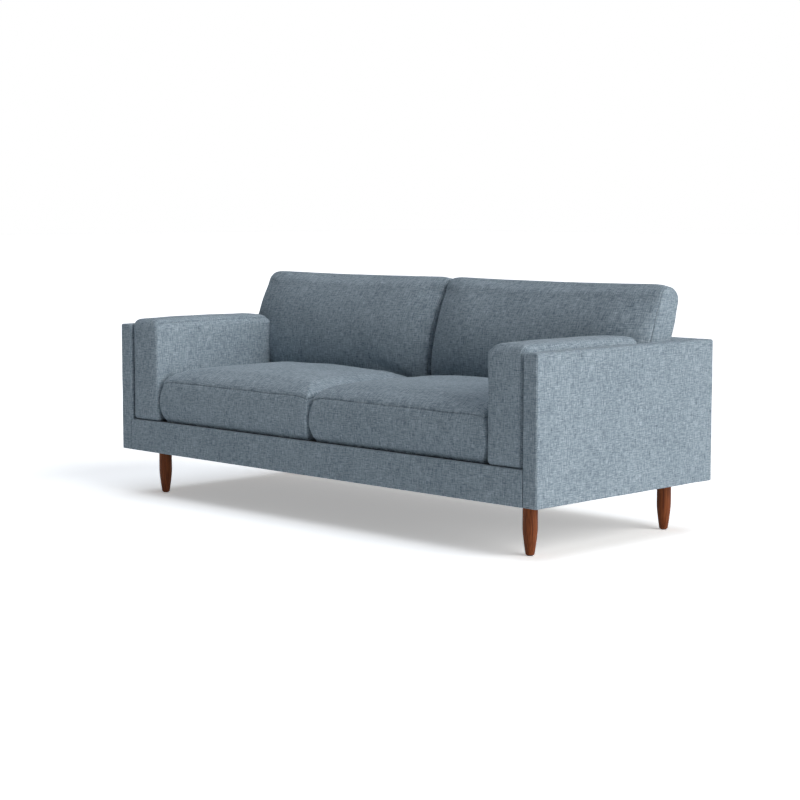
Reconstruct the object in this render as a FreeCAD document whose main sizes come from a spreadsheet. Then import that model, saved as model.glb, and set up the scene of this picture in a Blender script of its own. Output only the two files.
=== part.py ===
import FreeCAD, Part
import Sketcher
import math
import os
import re

from FreeCAD import Placement, Rotation, Vector

os.makedirs("parts", exist_ok=True)
doc = FreeCAD.newDocument("Loveseat")

# Driving sizes
# Millimetres, and degrees for the one angle. +Z is up, the front faces -Y, +X is to the viewer's right,
# and the origin lies on the floor under the middle of the sofa.
sizes = {
    # The whole sofa
    "overall_width": 2134,
    "overall_depth": 914,
    "leg_height": 173,
    "deck_height": 292,
    "panel_height": 659,
    "panel_thickness": 60,
    # Upholstery over the frame
    "padding": 12,
    "front_padding": 10,
    "edge_depth": 24,
    "edge_radius": 9,
    "top_edge_radius": 8,
    "dust_cloth": 1.5,
    "deck_cloth_thickness": 4,
    "deck_pad_thickness": 14,
    # Clearances
    "seam_gap": 0.5,
    "fit_gap": 0.1,
    "rest_gap": 0.3,
    "overrun": 40,
    # Base frame
    "rail_thickness": 32,
    "spring_rail_height": 60,
    "block_width": 92,
    "block_length": 130,
    "block_height": 45,
    # Seat springs
    "spring_wire": 4,
    "spring_width": 60,
    "spring_pitch": 40,
    "clip_base": 2,
    "clip_length": 16,
    "clip_width": 14,
    "clip_wall": 1.5,
    # Legs
    "leg_inset_side": 124,
    "leg_inset_front": 113.5,
    "leg_inset_rear": 102.6,
    "leg_top_radius": 22.2,
    "leg_belly_radius": 23,
    "leg_foot_radius": 12.8,
    "leg_belly_height": 82,
    "glide_radius": 10,
    "glide_thickness": 3,
    "leg_bolt_radius": 4,
    "leg_bolt_grip": 42,
    # Tee nuts
    "nut_barrel_radius": 5,
    "nut_barrel_length": 10,
    "nut_flange_radius": 11,
    "nut_flange_thickness": 1.5,
    # Side panels
    "batten_thickness": 18,
    "batten_width": 60,
    "side_bolt_radius": 4,
    "side_bolt_head_radius": 6.5,
    "side_bolt_head": 5,
    "side_bolt_rise": 47.5,
    # Back
    "lean_angle": 13,
    "back_depth": 232.5,
    "back_padding": 20,
    "back_board_thickness": 12,
    "rib_thickness": 18,
    "top_rail_thickness": 18,
    "strap_width": 52,
    "strap_thickness": 2.5,
    # Arm pads
    "arm_pad_thickness": 144,
    "arm_pad_panel_gap": 3,
    "arm_pad_setback": 4,
    "arm_pad_back_gap": 108.5,
    "arm_pad_rise": 24,
    "arm_pad_crown": 3,
    "arm_pad_end_radius": 18,
    "arm_pad_corner": 30,
    "arm_pad_foot_corner": 15,
    "arm_board_thickness": 12,
    "arm_board_inset": 34,
    "arm_bolt_radius": 3,
    "arm_bolt_head_radius": 8,
    "arm_bolt_head": 4,
    # Cushion covers: cloth with the fibre wrap under it
    "cover_wall": 8,
    "fill_gap": 0.5,
    "zip_width": 8,
    # Seat cushions
    "seat_middle_gap": 1.5,
    "seat_side_gap": 2.5,
    "seat_setback": 18,
    "seat_boxing": 153,
    "seat_front_bow": 11,
    "seat_rear_bow": 3,
    "seat_back_gap": 9,
    "seat_rear_lean": 10,
    "seat_shoulder_rise": 25,
    "seat_shoulder_run": 72,
    "seat_rear_run": 40,
    "seat_bottom_corner": 19,
    "seat_crown": 28,
    "seat_draw": 5,
    "seat_end_radius": 18,
    # Back cushions
    "back_middle_gap": 1.5,
    "back_side_gap": 2,
    "back_cushion_thickness": 111.5,
    "back_cushion_front_top": 855,
    "back_cushion_rear_top": 834,
    "back_cushion_crown": 30,
    "back_top_crown": 6,
    "back_foot_corner": 45,
    "back_heel_corner": 14,
    "back_rear_corner": 54,
    "back_brow_corner": 34,
    "back_end_radius": 24,
}

# Counts
springs_each_side = 5
straps = 5
ribs_each_side = 2

# Shares of the piece that carries each place
side_bolt_shares = (-0.27, -0.03, 0.2)
arm_bolt_share_places = ((0.24, 0.4), (0.78, 0.4))
arm_bolt_tip_share = 0.25
zip_length_share = 0.7
round_share = 0.414
least_round_share = 0.3
end_section_shares = (0.0, 0.05, 0.2, 0.5, 1.0)
middle_section_shares = (0.84, 0.68, 0.48, 0.25)
crown_power = 3

sheet = doc.addObject("Spreadsheet::Sheet", "Sizes")
for row, (name, value) in enumerate(sizes.items(), start=1):
    sheet.set(f"A{row}", name)
    sheet.set(f"B{row}", str(value))
    sheet.setAlias(f"B{row}", name)
doc.recompute()


# Helpers
def bound(text):
    """The expression with each size read from the sheet."""
    return re.sub(r"[a-z][a-z_]*", lambda word: "Sizes." + word[0] if word[0] in sizes else word[0], text)


def number(text):
    """The expression's value now, in millimetres or degrees."""
    return float(sheet.evalExpression(bound(text)))


def bind(piece, **expressions):
    """Ties properties of a piece to expressions in the sheet's sizes."""
    for name, text in expressions.items():
        piece.setExpression(name, bound(text))


def move(piece, corner):
    """Ties a piece's place to three expressions."""
    for axis, text in zip("xyz", corner):
        piece.setExpression("Placement.Base." + axis, bound(text))


nodes = []


def part(node, piece):
    """Names a finished sub-part, which is one exported file."""
    piece.Label = node
    nodes.append(piece)
    return piece


def box(name, middle_x, low_y, low_z, lengths):
    """A block whose X place is its middle, and whose Y and Z places are its low sides."""
    piece = doc.addObject("Part::Box", name)
    bind(piece, Length=lengths[0], Width=lengths[1], Height=lengths[2])
    move(piece, (f"{middle_x} - ({lengths[0]}) / 2", low_y, low_z))
    return piece


def rod(name, start, radius, length, along="z"):
    """A cylinder from its start point along +Z, +X or -X."""
    turns = {"z": 0, "x": 90, "-x": -90}
    piece = doc.addObject("Part::Cylinder", name)
    piece.Placement = Placement(Vector(), Rotation(Vector(0, 1, 0), turns[along]))
    bind(piece, Radius=radius, Height=length)
    move(piece, start)
    return piece


def fuse(name, pieces):
    """Several touching pieces made one solid."""
    piece = doc.addObject("Part::MultiFuse", name)
    piece.Shapes = pieces
    return piece


def group(name, pieces):
    """Several separate solids in one sub-part."""
    piece = doc.addObject("Part::Compound", name)
    piece.Links = pieces
    return piece


def drill(name, base, holes):
    """A piece with holes or slots cut out of it."""
    piece = doc.addObject("Part::Cut", name)
    piece.Base = base
    piece.Tool = group(name + "_holes", holes)
    return piece


def shaped(name, shape):
    """A sub-part whose surface is worked out here from the sheet's sizes."""
    piece = doc.addObject("Part::Feature", name)
    piece.Shape = shape
    piece.Placement = Placement()
    return piece


def origin_plane(body, role):
    return next(plane for plane in body.Origin.OriginFeatures if plane.Role == role)


def tie_point(sketch, line, point):
    """Holds the start of a line of a sketch at two expressions."""
    for kind, text in zip(("DistanceX", "DistanceY"), point):
        index = sketch.addConstraint(Sketcher.Constraint(kind, -1, 1, line, 1, number(text)))
        sketch.setExpression(f"Constraints[{index}]", bound(text))


def outline_body(name, points, length):
    """A body with its outline in Y and Z, padded both ways from the middle plane along X."""
    body = doc.addObject("PartDesign::Body", name)
    sketch = body.newObject("Sketcher::SketchObject", name + "_outline")
    sketch.AttachmentSupport = [(origin_plane(body, "YZ_Plane"), "")]
    sketch.MapMode = "FlatFace"
    places = [Vector(number(y), number(z), 0) for y, z in points]
    for here, there in zip(places, places[1:] + places[:1]):
        sketch.addGeometry(Part.LineSegment(here, there))
    count = len(places)
    for line in range(count):
        sketch.addConstraint(Sketcher.Constraint("Coincident", line, 2, (line + 1) % count, 1))
    for line, point in enumerate(points):
        tie_point(sketch, line, point)
    pad = body.newObject("PartDesign::Pad", name + "_pad")
    pad.Profile = sketch
    pad.SideType = "Symmetric"
    bind(pad, Length=length)
    doc.recompute()
    return body


def round_edges(body, name, radius, wanted):
    """Rounds the edges of a body's last feature that the test picks."""
    base = body.Tip
    edges = [f"Edge{i}" for i, edge in enumerate(base.Shape.Edges, start=1) if wanted(edge)]
    fillet = body.newObject("PartDesign::Fillet", name)
    fillet.Base = (base, edges)
    bind(fillet, Radius=radius)
    doc.recompute()
    return fillet


# Shared places
# Each is an expression, so that every piece that meets another takes its place from the same sizes.
front_face = "(-overall_depth / 2)"
rear_face = "(overall_depth / 2)"
panel_inside = "(overall_width / 2 - panel_thickness)"
lean_rise = "tan(lean_angle * 1 deg)"
lean_cos = "cos(lean_angle * 1 deg)"
lean_sin = "sin(lean_angle * 1 deg)"

deck_pad_low = "(deck_height - deck_cloth_thickness - deck_pad_thickness)"
rail_top = f"({deck_pad_low} - clip_wall - spring_wire - clip_base)"
rail_bottom = "(leg_height + dust_cloth)"
rail_height = f"({rail_top} - {rail_bottom})"
front_rail_outside = f"({front_face} + front_padding)"
front_rail_inside = f"({front_rail_outside} + rail_thickness)"
rear_board_inside = f"({rear_face} - padding - back_board_thickness)"
rear_rail_inside = f"({rear_board_inside} - rail_thickness)"
side_rail_inside = f"({panel_inside} - rail_thickness)"
rails_between = f"({rear_rail_inside} - {front_rail_inside})"
inner_width = f"(2 * ({panel_inside} - seam_gap))"

back_foot_y = f"({rear_face} - back_depth)"
cushion_foot_y = f"({back_foot_y} - back_cushion_thickness)"
back_lining_y = f"({back_foot_y} + back_padding / {lean_cos})"
back_rib_y = f"({back_lining_y} + strap_thickness / {lean_cos})"
panel_board_top = "(panel_height - padding)"
board_outside = "(overall_width / 2 - padding)"
board_thickness = "(panel_thickness - 2 * padding - batten_thickness)"
sides = {"left": -1, "right": 1}
ends = {"front": 1, "rear": -1}


def leaning(foot, height):
    """The Y of a leaning line at a height, from its Y at the deck."""
    return f"({foot} + ({height} - deck_height) * {lean_rise})"


# Legs
# Each leg is turned from one piece of wood: a long convex taper up to its widest place, then nearly straight.
def leg(name, x, y):
    body = doc.addObject("PartDesign::Body", name)
    sketch = body.newObject("Sketcher::SketchObject", name + "_half_section")
    sketch.AttachmentSupport = [(origin_plane(body, "XZ_Plane"), "")]
    sketch.MapMode = "FlatFace"
    foot, belly, top = [number(f"leg_{place}_radius") for place in ("foot", "belly", "top")]
    bore = number("leg_bolt_radius + fit_gap")
    low, middle, high = number("glide_thickness"), number("leg_belly_height"), number("leg_height")
    bore_end = number("leg_height - leg_bolt_grip")
    lower_radius = ((belly - foot) ** 2 + (middle - low) ** 2) / (2 * (belly - foot))
    upper_radius = ((belly - top) ** 2 + (high - middle) ** 2) / (2 * (belly - top))
    lower_turn = math.asin((middle - low) / lower_radius)
    upper_turn = math.asin((high - middle) / upper_radius)
    lower = Part.Circle(Vector(belly - lower_radius, middle, 0), Vector(0, 0, 1), lower_radius)
    upper = Part.Circle(Vector(belly - upper_radius, middle, 0), Vector(0, 0, 1), upper_radius)
    sketch.addGeometry(
        [
            Part.LineSegment(Vector(0, low, 0), Vector(foot, low, 0)),
            Part.ArcOfCircle(lower, -lower_turn, 0),
            Part.ArcOfCircle(upper, 0, upper_turn),
            Part.LineSegment(Vector(top, high, 0), Vector(bore, high, 0)),
            Part.LineSegment(Vector(bore, high, 0), Vector(bore, bore_end, 0)),
            Part.LineSegment(Vector(bore, bore_end, 0), Vector(0, bore_end, 0)),
            Part.LineSegment(Vector(0, bore_end, 0), Vector(0, low, 0)),
        ]
    )
    joins = [(0, 2, 1, 1), (1, 2, 2, 1), (2, 2, 3, 1), (3, 2, 4, 1), (4, 2, 5, 1), (5, 2, 6, 1), (6, 2, 0, 1)]
    for join in joins:
        sketch.addConstraint(Sketcher.Constraint("Coincident", *join))
    flat_lines = (0, 3, 5)
    for line in flat_lines:
        sketch.addConstraint(Sketcher.Constraint("Horizontal", line))
    sketch.addConstraint(Sketcher.Constraint("Vertical", 4))
    sketch.addConstraint(Sketcher.Constraint("PointOnObject", 0, 1, -2))
    sketch.addConstraint(Sketcher.Constraint("PointOnObject", 5, 2, -2))
    placed = [
        ("DistanceY", -1, 1, 0, 1, "glide_thickness"),
        ("DistanceX", -1, 1, 0, 2, "leg_foot_radius"),
        ("DistanceX", -1, 1, 1, 2, "leg_belly_radius"),
        ("DistanceY", -1, 1, 1, 2, "leg_belly_height"),
        ("DistanceY", -1, 1, 1, 3, "leg_belly_height"),
        ("DistanceY", -1, 1, 2, 3, "leg_belly_height"),
        ("DistanceX", -1, 1, 2, 2, "leg_top_radius"),
        ("DistanceY", -1, 1, 2, 2, "leg_height"),
        ("DistanceX", -1, 1, 4, 1, "leg_bolt_radius + fit_gap"),
        ("DistanceY", -1, 1, 4, 2, "leg_height - leg_bolt_grip"),
    ]
    for *place, text in placed:
        index = sketch.addConstraint(Sketcher.Constraint(*place, number(text)))
        sketch.setExpression(f"Constraints[{index}]", bound(text))
    turned = body.newObject("PartDesign::Revolution", name + "_turned")
    turned.Profile = sketch
    turned.ReferenceAxis = (sketch, ["V_Axis"])
    turned.Angle = 360
    move(body, (x, y, "0"))
    return body


def onward(start, along, distance):
    """A start point moved by an expression along +Z, +X or -X."""
    x, y, z = start
    if along == "z":
        return (x, y, f"{z} + {distance}")
    way = "-" if along == "-x" else "+"
    return (f"{x} {way} {distance}", y, z)


def tee_nut(name, start, bolt_radius, along="z"):
    """A threaded barrel from its start, with a flange at its far end."""
    length = "(nut_barrel_length + nut_flange_thickness)"
    barrel = rod(name + "_barrel", start, "nut_barrel_radius", "nut_barrel_length", along)
    flange_start = onward(start, along, "nut_barrel_length")
    flange = rod(name + "_flange", flange_start, "nut_flange_radius", "nut_flange_thickness", along)
    thread = rod(name + "_thread", start, f"{bolt_radius} + fit_gap", length, along)
    return drill(name, fuse(name + "_blank", [barrel, flange]), [thread])


def tee_nut_hole(name, start, bolt_start, bolt_radius, bolt_length, along="z"):
    """The hole for a bolt and its tee nut, with a recess for the flange."""
    hole = rod(name + "_shank", bolt_start, f"{bolt_radius} + fit_gap", bolt_length, along)
    barrel = rod(name + "_barrel", start, "nut_barrel_radius + fit_gap", "nut_barrel_length", along)
    flange_start = onward(start, along, "nut_barrel_length")
    flange = rod(name + "_flange", flange_start, "nut_flange_radius + fit_gap", "nut_flange_thickness", along)
    return fuse(name, [hole, barrel, flange])


leg_spots = {}
for end, toward_rear in ends.items():
    for side, sign in sides.items():
        inset = f"leg_inset_{end}"
        edge = front_face if end == "front" else rear_face
        leg_spots[f"{end}_{side}"] = (
            f"{sign} * (overall_width / 2 - leg_inset_side)",
            f"({edge} + {toward_rear} * {inset})",
        )

glides, leg_bolts, leg_nuts, blocks = [], [], [], []
block_top = f"({rail_bottom} + block_height)"
for spot, (x, y) in leg_spots.items():
    end, side = spot.split("_")
    part(f"leg_{spot}", leg(f"leg_{spot}", x, y))
    glides.append(rod(f"glide_{spot}", (x, y, "0"), "glide_radius", "glide_thickness"))
    leg_bolts.append(
        rod(
            f"leg_bolt_{spot}",
            (x, y, "leg_height - leg_bolt_grip"),
            "leg_bolt_radius",
            f"leg_bolt_grip + {block_top} - leg_height",
        )
    )
    nut_start = (x, y, f"({block_top} - nut_barrel_length)")
    leg_nuts.append(tee_nut(f"leg_nut_{spot}", nut_start, "leg_bolt_radius"))
    low_y = front_rail_inside if end == "front" else f"({rear_rail_inside} - block_length)"
    block = box(
        f"block_{spot}",
        f"{sides[side]} * ({side_rail_inside} - block_width / 2)",
        low_y,
        rail_bottom,
        ("block_width", "block_length", "block_height"),
    )
    block_hole = tee_nut_hole(
        f"block_hole_{spot}", nut_start, (x, y, rail_bottom), "leg_bolt_radius", "block_height"
    )
    blocks.append(drill(f"corner_block_{spot}", block, [block_hole]))

part("leg_glides", group("leg_glides", glides))
part("leg_bolts", group("leg_bolts", leg_bolts))
part("leg_tee_nuts", group("leg_tee_nuts", leg_nuts))
part("corner_blocks", group("corner_blocks", blocks))

# Base frame
part(
    "front_rail",
    box("front_rail", "0", front_rail_outside, rail_bottom, (inner_width, "rail_thickness", rail_height)),
)
part(
    "rear_rail",
    box("rear_rail", "0", rear_rail_inside, rail_bottom, (inner_width, "rail_thickness", rail_height)),
)
part(
    "centre_rail",
    box("centre_rail", "0", front_rail_inside, rail_bottom, ("rail_thickness", rails_between, rail_height)),
)
spring_rail_length = f"({side_rail_inside} - rail_thickness / 2)"
spring_rails = [
    box(
        f"spring_rail_{side}",
        f"{sign} * ({side_rail_inside} + rail_thickness / 2) / 2",
        back_foot_y,
        f"{rail_top} - spring_rail_height",
        (spring_rail_length, "rail_thickness", "spring_rail_height"),
    )
    for side, sign in sides.items()
]
part("spring_rails", group("spring_rails", spring_rails))

# Side panels
# A plywood board with battens round its inner face, bolted to the side rail through the padded cover.
panel_length = "(overall_depth - 2 * padding)"
panel_front = f"({front_face} + padding)"
batten_x = f"({panel_inside} + padding + batten_thickness / 2)"
batten_stile_height = f"({panel_board_top} - leg_height - 2 * batten_width)"
side_bolt_z = "(leg_height + side_bolt_rise)"
side_bolt_spots = [f"{share} * overall_depth" for share in side_bolt_shares]
arm_pad_front = f"({front_face} + arm_pad_setback)"
arm_pad_length = f"({back_foot_y} - arm_pad_back_gap - {arm_pad_front})"
arm_pad_height = "(panel_height + arm_pad_rise - deck_height)"
arm_bolt_spots = [
    (f"({arm_pad_front} + {along} * {arm_pad_length})", f"(deck_height + {up} * {arm_pad_height})")
    for along, up in arm_bolt_share_places
]
arm_pad_outside = f"({panel_inside} - arm_pad_panel_gap)"
arm_board_outside = f"({arm_pad_outside} - cover_wall)"
arm_board_inside = f"({arm_board_outside} - arm_board_thickness)"
side_bolts, side_nuts, arm_bolts = [], [], []


def side_cover(name, sign):
    """The padded cloth over a side panel: a rounded case open underneath, round the board and battens."""
    body = doc.addObject("PartDesign::Body", name)
    middle = f"{sign} * (overall_width / 2 - panel_thickness / 2)"

    def rectangle(label, height, width, length, shift):
        sketch = body.newObject("Sketcher::SketchObject", f"{name}_{label}_outline")
        sketch.AttachmentSupport = [(origin_plane(body, "XY_Plane"), "")]
        sketch.MapMode = "FlatFace"
        bind(sketch, **{"AttachmentOffset.Base.z": height})
        corners = [
            (f"({shift} - {width} / 2)", f"(-{length} / 2)"),
            (f"({shift} + {width} / 2)", f"(-{length} / 2)"),
            (f"({shift} + {width} / 2)", f"({length} / 2)"),
            (f"({shift} - {width} / 2)", f"({length} / 2)"),
        ]
        places = [Vector(number(x), number(y), 0) for x, y in corners]
        for line in range(4):
            sketch.addGeometry(Part.LineSegment(places[line], places[(line + 1) % 4]))
        for line in range(4):
            sketch.addConstraint(Sketcher.Constraint("Coincident", line, 2, (line + 1) % 4, 1))
        for line, corner in enumerate(corners):
            tie_point(sketch, line, corner)
        return sketch

    case = body.newObject("PartDesign::Pad", name + "_case")
    case.Profile = rectangle("case", "leg_height", "panel_thickness", "overall_depth", middle)
    bind(case, Length="panel_height - leg_height")
    doc.recompute()
    low, high = number("leg_height + padding"), number("panel_height - padding")
    round_edges(
        body,
        name + "_uprights",
        "edge_radius",
        lambda edge: edge.BoundBox.ZMin < low and edge.BoundBox.ZMax > high,
    )
    round_edges(body, name + "_top", "top_edge_radius", lambda edge: edge.BoundBox.ZMin > high)
    hollow = body.newObject("PartDesign::Pocket", name + "_hollow")
    hollow.Profile = rectangle(
        "hollow", "leg_height", "(panel_thickness - 2 * padding)", "(overall_depth - 2 * padding)", middle
    )
    hollow.Reversed = True
    bind(hollow, Length="panel_height - leg_height - padding")
    doc.recompute()
    return body


for side, sign in sides.items():
    board = box(
        f"side_board_blank_{side}",
        f"{sign} * ({board_outside} - {board_thickness} / 2)",
        panel_front,
        "leg_height",
        (board_thickness, panel_length, f"{panel_board_top} - leg_height"),
    )
    batten_rows = [
        box(
            f"batten_{row}_{side}",
            f"{sign} * {batten_x}",
            panel_front,
            low,
            ("batten_thickness", panel_length, "batten_width"),
        )
        for row, low in (("low", "leg_height"), ("high", f"{panel_board_top} - batten_width"))
    ]
    batten_stiles = [
        box(
            f"batten_{end}_{side}",
            f"{sign} * {batten_x}",
            low,
            "leg_height + batten_width",
            ("batten_thickness", "batten_width", batten_stile_height),
        )
        for end, low in (("front", panel_front), ("rear", f"({rear_face} - padding - batten_width)"))
    ]
    rail = box(
        f"side_rail_blank_{side}",
        f"{sign} * ({panel_inside} - seam_gap - (rail_thickness - seam_gap) / 2)",
        front_rail_inside,
        rail_bottom,
        ("rail_thickness - seam_gap", rails_between, rail_height),
    )
    along = "x" if sign > 0 else "-x"
    rail_holes, batten_holes, board_holes, cover_holes = [], [], [], []
    for spot, y in enumerate(side_bolt_spots):
        label = f"{side}_{spot}"
        head_start = (f"{sign} * ({side_rail_inside} - side_bolt_head)", y, side_bolt_z)
        shank_start = (f"{sign} * {side_rail_inside}", y, side_bolt_z)
        nut_start = (f"{sign} * ({board_outside} - nut_flange_thickness - nut_barrel_length)", y, side_bolt_z)
        shank_length = f"{board_outside} - nut_flange_thickness - {side_rail_inside}"
        head = rod(f"side_bolt_head_{label}", head_start, "side_bolt_head_radius", "side_bolt_head", along)
        shank = rod(f"side_bolt_shank_{label}", shank_start, "side_bolt_radius", shank_length, along)
        side_bolts.append(fuse(f"side_bolt_{label}", [head, shank]))
        side_nuts.append(tee_nut(f"side_nut_{label}", nut_start, "side_bolt_radius", along))
        hole_radius = "side_bolt_radius + fit_gap"
        for piece, holes in (("rail", rail_holes), ("batten", batten_holes), ("cover", cover_holes)):
            holes.append(rod(f"side_{piece}_hole_{label}", shank_start, hole_radius, shank_length, along))
        board_holes.append(
            tee_nut_hole(
                f"side_board_hole_{label}", nut_start, shank_start, "side_bolt_radius", shank_length, along
            )
        )
    for spot, (y, z) in enumerate(arm_bolt_spots):
        label = f"{side}_{spot}"
        tip = f"({arm_board_inside} + {arm_bolt_tip_share} * arm_board_thickness)"
        head_start = (f"{sign} * ({board_outside} - arm_bolt_head)", y, z)
        tip_start = (f"{sign} * {tip}", y, z)
        length = f"{board_outside} - {tip} - arm_bolt_head"
        head = rod(f"arm_bolt_head_{label}", head_start, "arm_bolt_head_radius", "arm_bolt_head", along)
        shank = rod(f"arm_bolt_shank_{label}", tip_start, "arm_bolt_radius", length, along)
        arm_bolts.append(fuse(f"arm_bolt_{label}", [head, shank]))
        hole_radius = "arm_bolt_radius + fit_gap"
        head_hole_radius = "arm_bolt_head_radius + fit_gap"
        cover_holes.append(rod(f"arm_cover_hole_{label}", tip_start, hole_radius, length, along))
        shank_hole = rod(f"arm_shank_hole_{label}", tip_start, hole_radius, length, along)
        head_hole = rod(f"arm_head_hole_{label}", head_start, head_hole_radius, "arm_bolt_head", along)
        board_holes.append(fuse(f"arm_board_hole_{label}", [shank_hole, head_hole]))
    low_batten = drill(f"batten_low_drilled_{side}", batten_rows[0], batten_holes)
    part(f"side_rail_{side}", drill(f"side_rail_{side}", rail, rail_holes))
    battens = [low_batten, batten_rows[1], *batten_stiles]
    part(f"side_battens_{side}", group(f"side_battens_{side}", battens))
    part(f"side_board_{side}", drill(f"side_board_{side}", board, board_holes))
    case = side_cover(f"side_case_{side}", sign)
    part(f"side_cover_{side}", drill(f"side_cover_{side}", case, cover_holes))

part("side_bolts", group("side_bolts", side_bolts))
part("side_tee_nuts", group("side_tee_nuts", side_nuts))
part("arm_pad_bolts", group("arm_pad_bolts", arm_bolts))

# Front rail's padded cover: down the rail's front, and over its top as a firm edge roll
front_cover = outline_body(
    "front_rail_cover",
    [
        (front_face, "leg_height"),
        (front_rail_outside, "leg_height"),
        (front_rail_outside, rail_top),
        (f"({front_face} + edge_depth)", rail_top),
        (f"({front_face} + edge_depth)", "deck_height"),
        (front_face, "deck_height"),
    ],
    inner_width,
)
round_edges(
    front_cover,
    "front_edge_rounded",
    "edge_radius",
    lambda edge: abs(edge.BoundBox.YMax - number(front_face)) < number("seam_gap")
    and edge.BoundBox.ZMin > number("deck_height - seam_gap"),
)
part("front_rail_cover", front_cover)

# Seat springs: flat zigzags of wire from the front rail to the spring rail, with their last runs in clips
spring_front = f"({front_rail_inside} - clip_length / 2)"
spring_rear = f"({back_foot_y} + clip_length / 2)"
spring_z = f"({rail_top} + clip_base + spring_wire / 2)"


def spring(x):
    """One zigzag spring: straight runs across, joined by half-round turns, swept by a round wire."""
    start, finish, height = number(spring_front), number(spring_rear), number(spring_z)
    turns = max(2, 2 * round((finish - start) / (2 * number("spring_pitch"))))
    pitch = (finish - start) / turns
    reach = number("spring_width") / 2 - pitch / 2
    edges = []
    for turn in range(turns + 1):
        y = start + turn * pitch
        side = 1 if turn % 2 else -1
        bend_x = x - side * reach
        edges.append(Part.LineSegment(Vector(x + side * reach, y, height), Vector(bend_x, y, height)))
        if turn < turns:
            outer = Vector(bend_x - side * pitch / 2, y + pitch / 2, height)
            edges.append(Part.Arc(Vector(bend_x, y, height), outer, Vector(bend_x, y + pitch, height)))
    path = Part.Wire([edge.toShape() for edge in edges])
    first = edges[0].StartPoint
    circle = Part.Circle(first, edges[0].EndPoint - first, number("spring_wire") / 2)
    return path.makePipe(Part.Face(Part.Wire([circle.toShape()])))


def clip(x, y, open_side):
    """A folded clip: its base on the rail and its lip over the wire's last run, open at its outer side."""
    wire, base, wall = number("spring_wire"), number("clip_base"), number("clip_wall")
    length, width = number("clip_length"), number("clip_width")
    low = number(rail_top)
    block = Part.makeBox(width, length, base + wire + wall, Vector(x - width / 2, y - length / 2, low))
    wire_space = wire + 2 * number("fit_gap")
    slot_length = (length + wire_space) / 2
    slot_y = y - wire_space / 2 if open_side > 0 else y - length / 2
    slot = Part.makeBox(
        width, slot_length, wire_space, Vector(x - width / 2, slot_y, low + base - number("fit_gap"))
    )
    return block.cut(slot)


springs, clips = [], []
bay = number(side_rail_inside) - number("rail_thickness") / 2
for sign in sides.values():
    for place in range(springs_each_side):
        x = sign * (number("rail_thickness") / 2 + bay * (2 * place + 1) / (2 * springs_each_side))
        springs.append(spring(x))
        clips += [clip(x, number(spring_front), -1), clip(x, number(spring_rear), 1)]
part("seat_springs", shaped("seat_springs", Part.makeCompound(springs)))
part("spring_clips", shaped("spring_clips", Part.makeCompound(clips)))

# Deck: a felt pad on the springs under a cloth, which the cushions stand on
deck_front = f"({front_face} + edge_depth)"
deck_length = f"({leaning(back_rib_y, rail_top)} - {deck_front})"
part(
    "deck_pad",
    box("deck_pad", "0", deck_front, deck_pad_low, (inner_width, deck_length, "deck_pad_thickness")),
)
part(
    "deck_cloth",
    box(
        "deck_cloth",
        "0",
        deck_front,
        "deck_height - deck_cloth_thickness",
        (inner_width, deck_length, "deck_cloth_thickness"),
    ),
)
dust_sheet = box(
    "dust_sheet",
    "0",
    front_rail_outside,
    "leg_height",
    (inner_width, f"{rear_board_inside} - {front_rail_outside}", "dust_cloth"),
)
dust_holes = [
    rod(f"dust_hole_{spot}", (x, y, "leg_height"), "leg_bolt_radius + fit_gap", "dust_cloth")
    for spot, (x, y) in leg_spots.items()
]
part("dust_cover", drill("dust_cover", dust_sheet, dust_holes))

# Back
# A rear board, ribs that hold the lean, straps across them, a top rail, and one padded cover over it all.
back_cover = outline_body(
    "back_cover",
    [
        (back_foot_y, "deck_height"),
        (back_lining_y, "deck_height"),
        (leaning(back_lining_y, panel_board_top), panel_board_top),
        (f"({rear_face} - padding)", panel_board_top),
        (f"({rear_face} - padding)", "leg_height"),
        (rear_face, "leg_height"),
        (rear_face, "panel_height"),
        (leaning(back_foot_y, "panel_height"), "panel_height"),
    ],
    inner_width,
)
round_edges(
    back_cover,
    "back_edges_rounded",
    "edge_radius",
    lambda edge: edge.BoundBox.ZMin > number("panel_height - seam_gap")
    and edge.BoundBox.XLength > number("padding"),
)
part("back_cover", back_cover)
part(
    "back_board",
    box(
        "back_board",
        "0",
        rear_board_inside,
        "leg_height",
        (inner_width, "back_board_thickness", f"{panel_board_top} - leg_height"),
    ),
)
top_rail_front = leaning(back_rib_y, panel_board_top)
rib_top = f"({panel_board_top} - top_rail_thickness)"
part(
    "back_top_rail",
    box(
        "back_top_rail",
        "0",
        top_rail_front,
        rib_top,
        (inner_width, f"{rear_board_inside} - {top_rail_front}", "top_rail_thickness"),
    ),
)


def rib(name, x):
    """An upright rib with its front edge on the lean and its rear edge on the rear board."""
    piece = doc.addObject("Part::Wedge", name)
    piece.Placement = Placement(Vector(), Rotation(Vector(1, 0, 0), 90))
    bind(
        piece,
        Xmin=f"{x} - rib_thickness / 2",
        Xmax=f"{x} + rib_thickness / 2",
        X2min=f"{x} - rib_thickness / 2",
        X2max=f"{x} + rib_thickness / 2",
        Ymin=rail_top,
        Ymax=rib_top,
        Zmin=f"-{rear_board_inside}",
        Z2min=f"-{rear_board_inside}",
        Zmax=f"-{leaning(back_rib_y, rail_top)}",
        Z2max=f"-{leaning(back_rib_y, rib_top)}",
    )
    return piece


outer_rib_x = f"({panel_inside} - rail_thickness / 2)"
ribs = [
    rib(f"rib_{place + ribs_each_side}", f"{place} / {ribs_each_side} * {outer_rib_x}")
    for place in range(-ribs_each_side, ribs_each_side + 1)
]
part("back_ribs", group("back_ribs", ribs))


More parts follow.
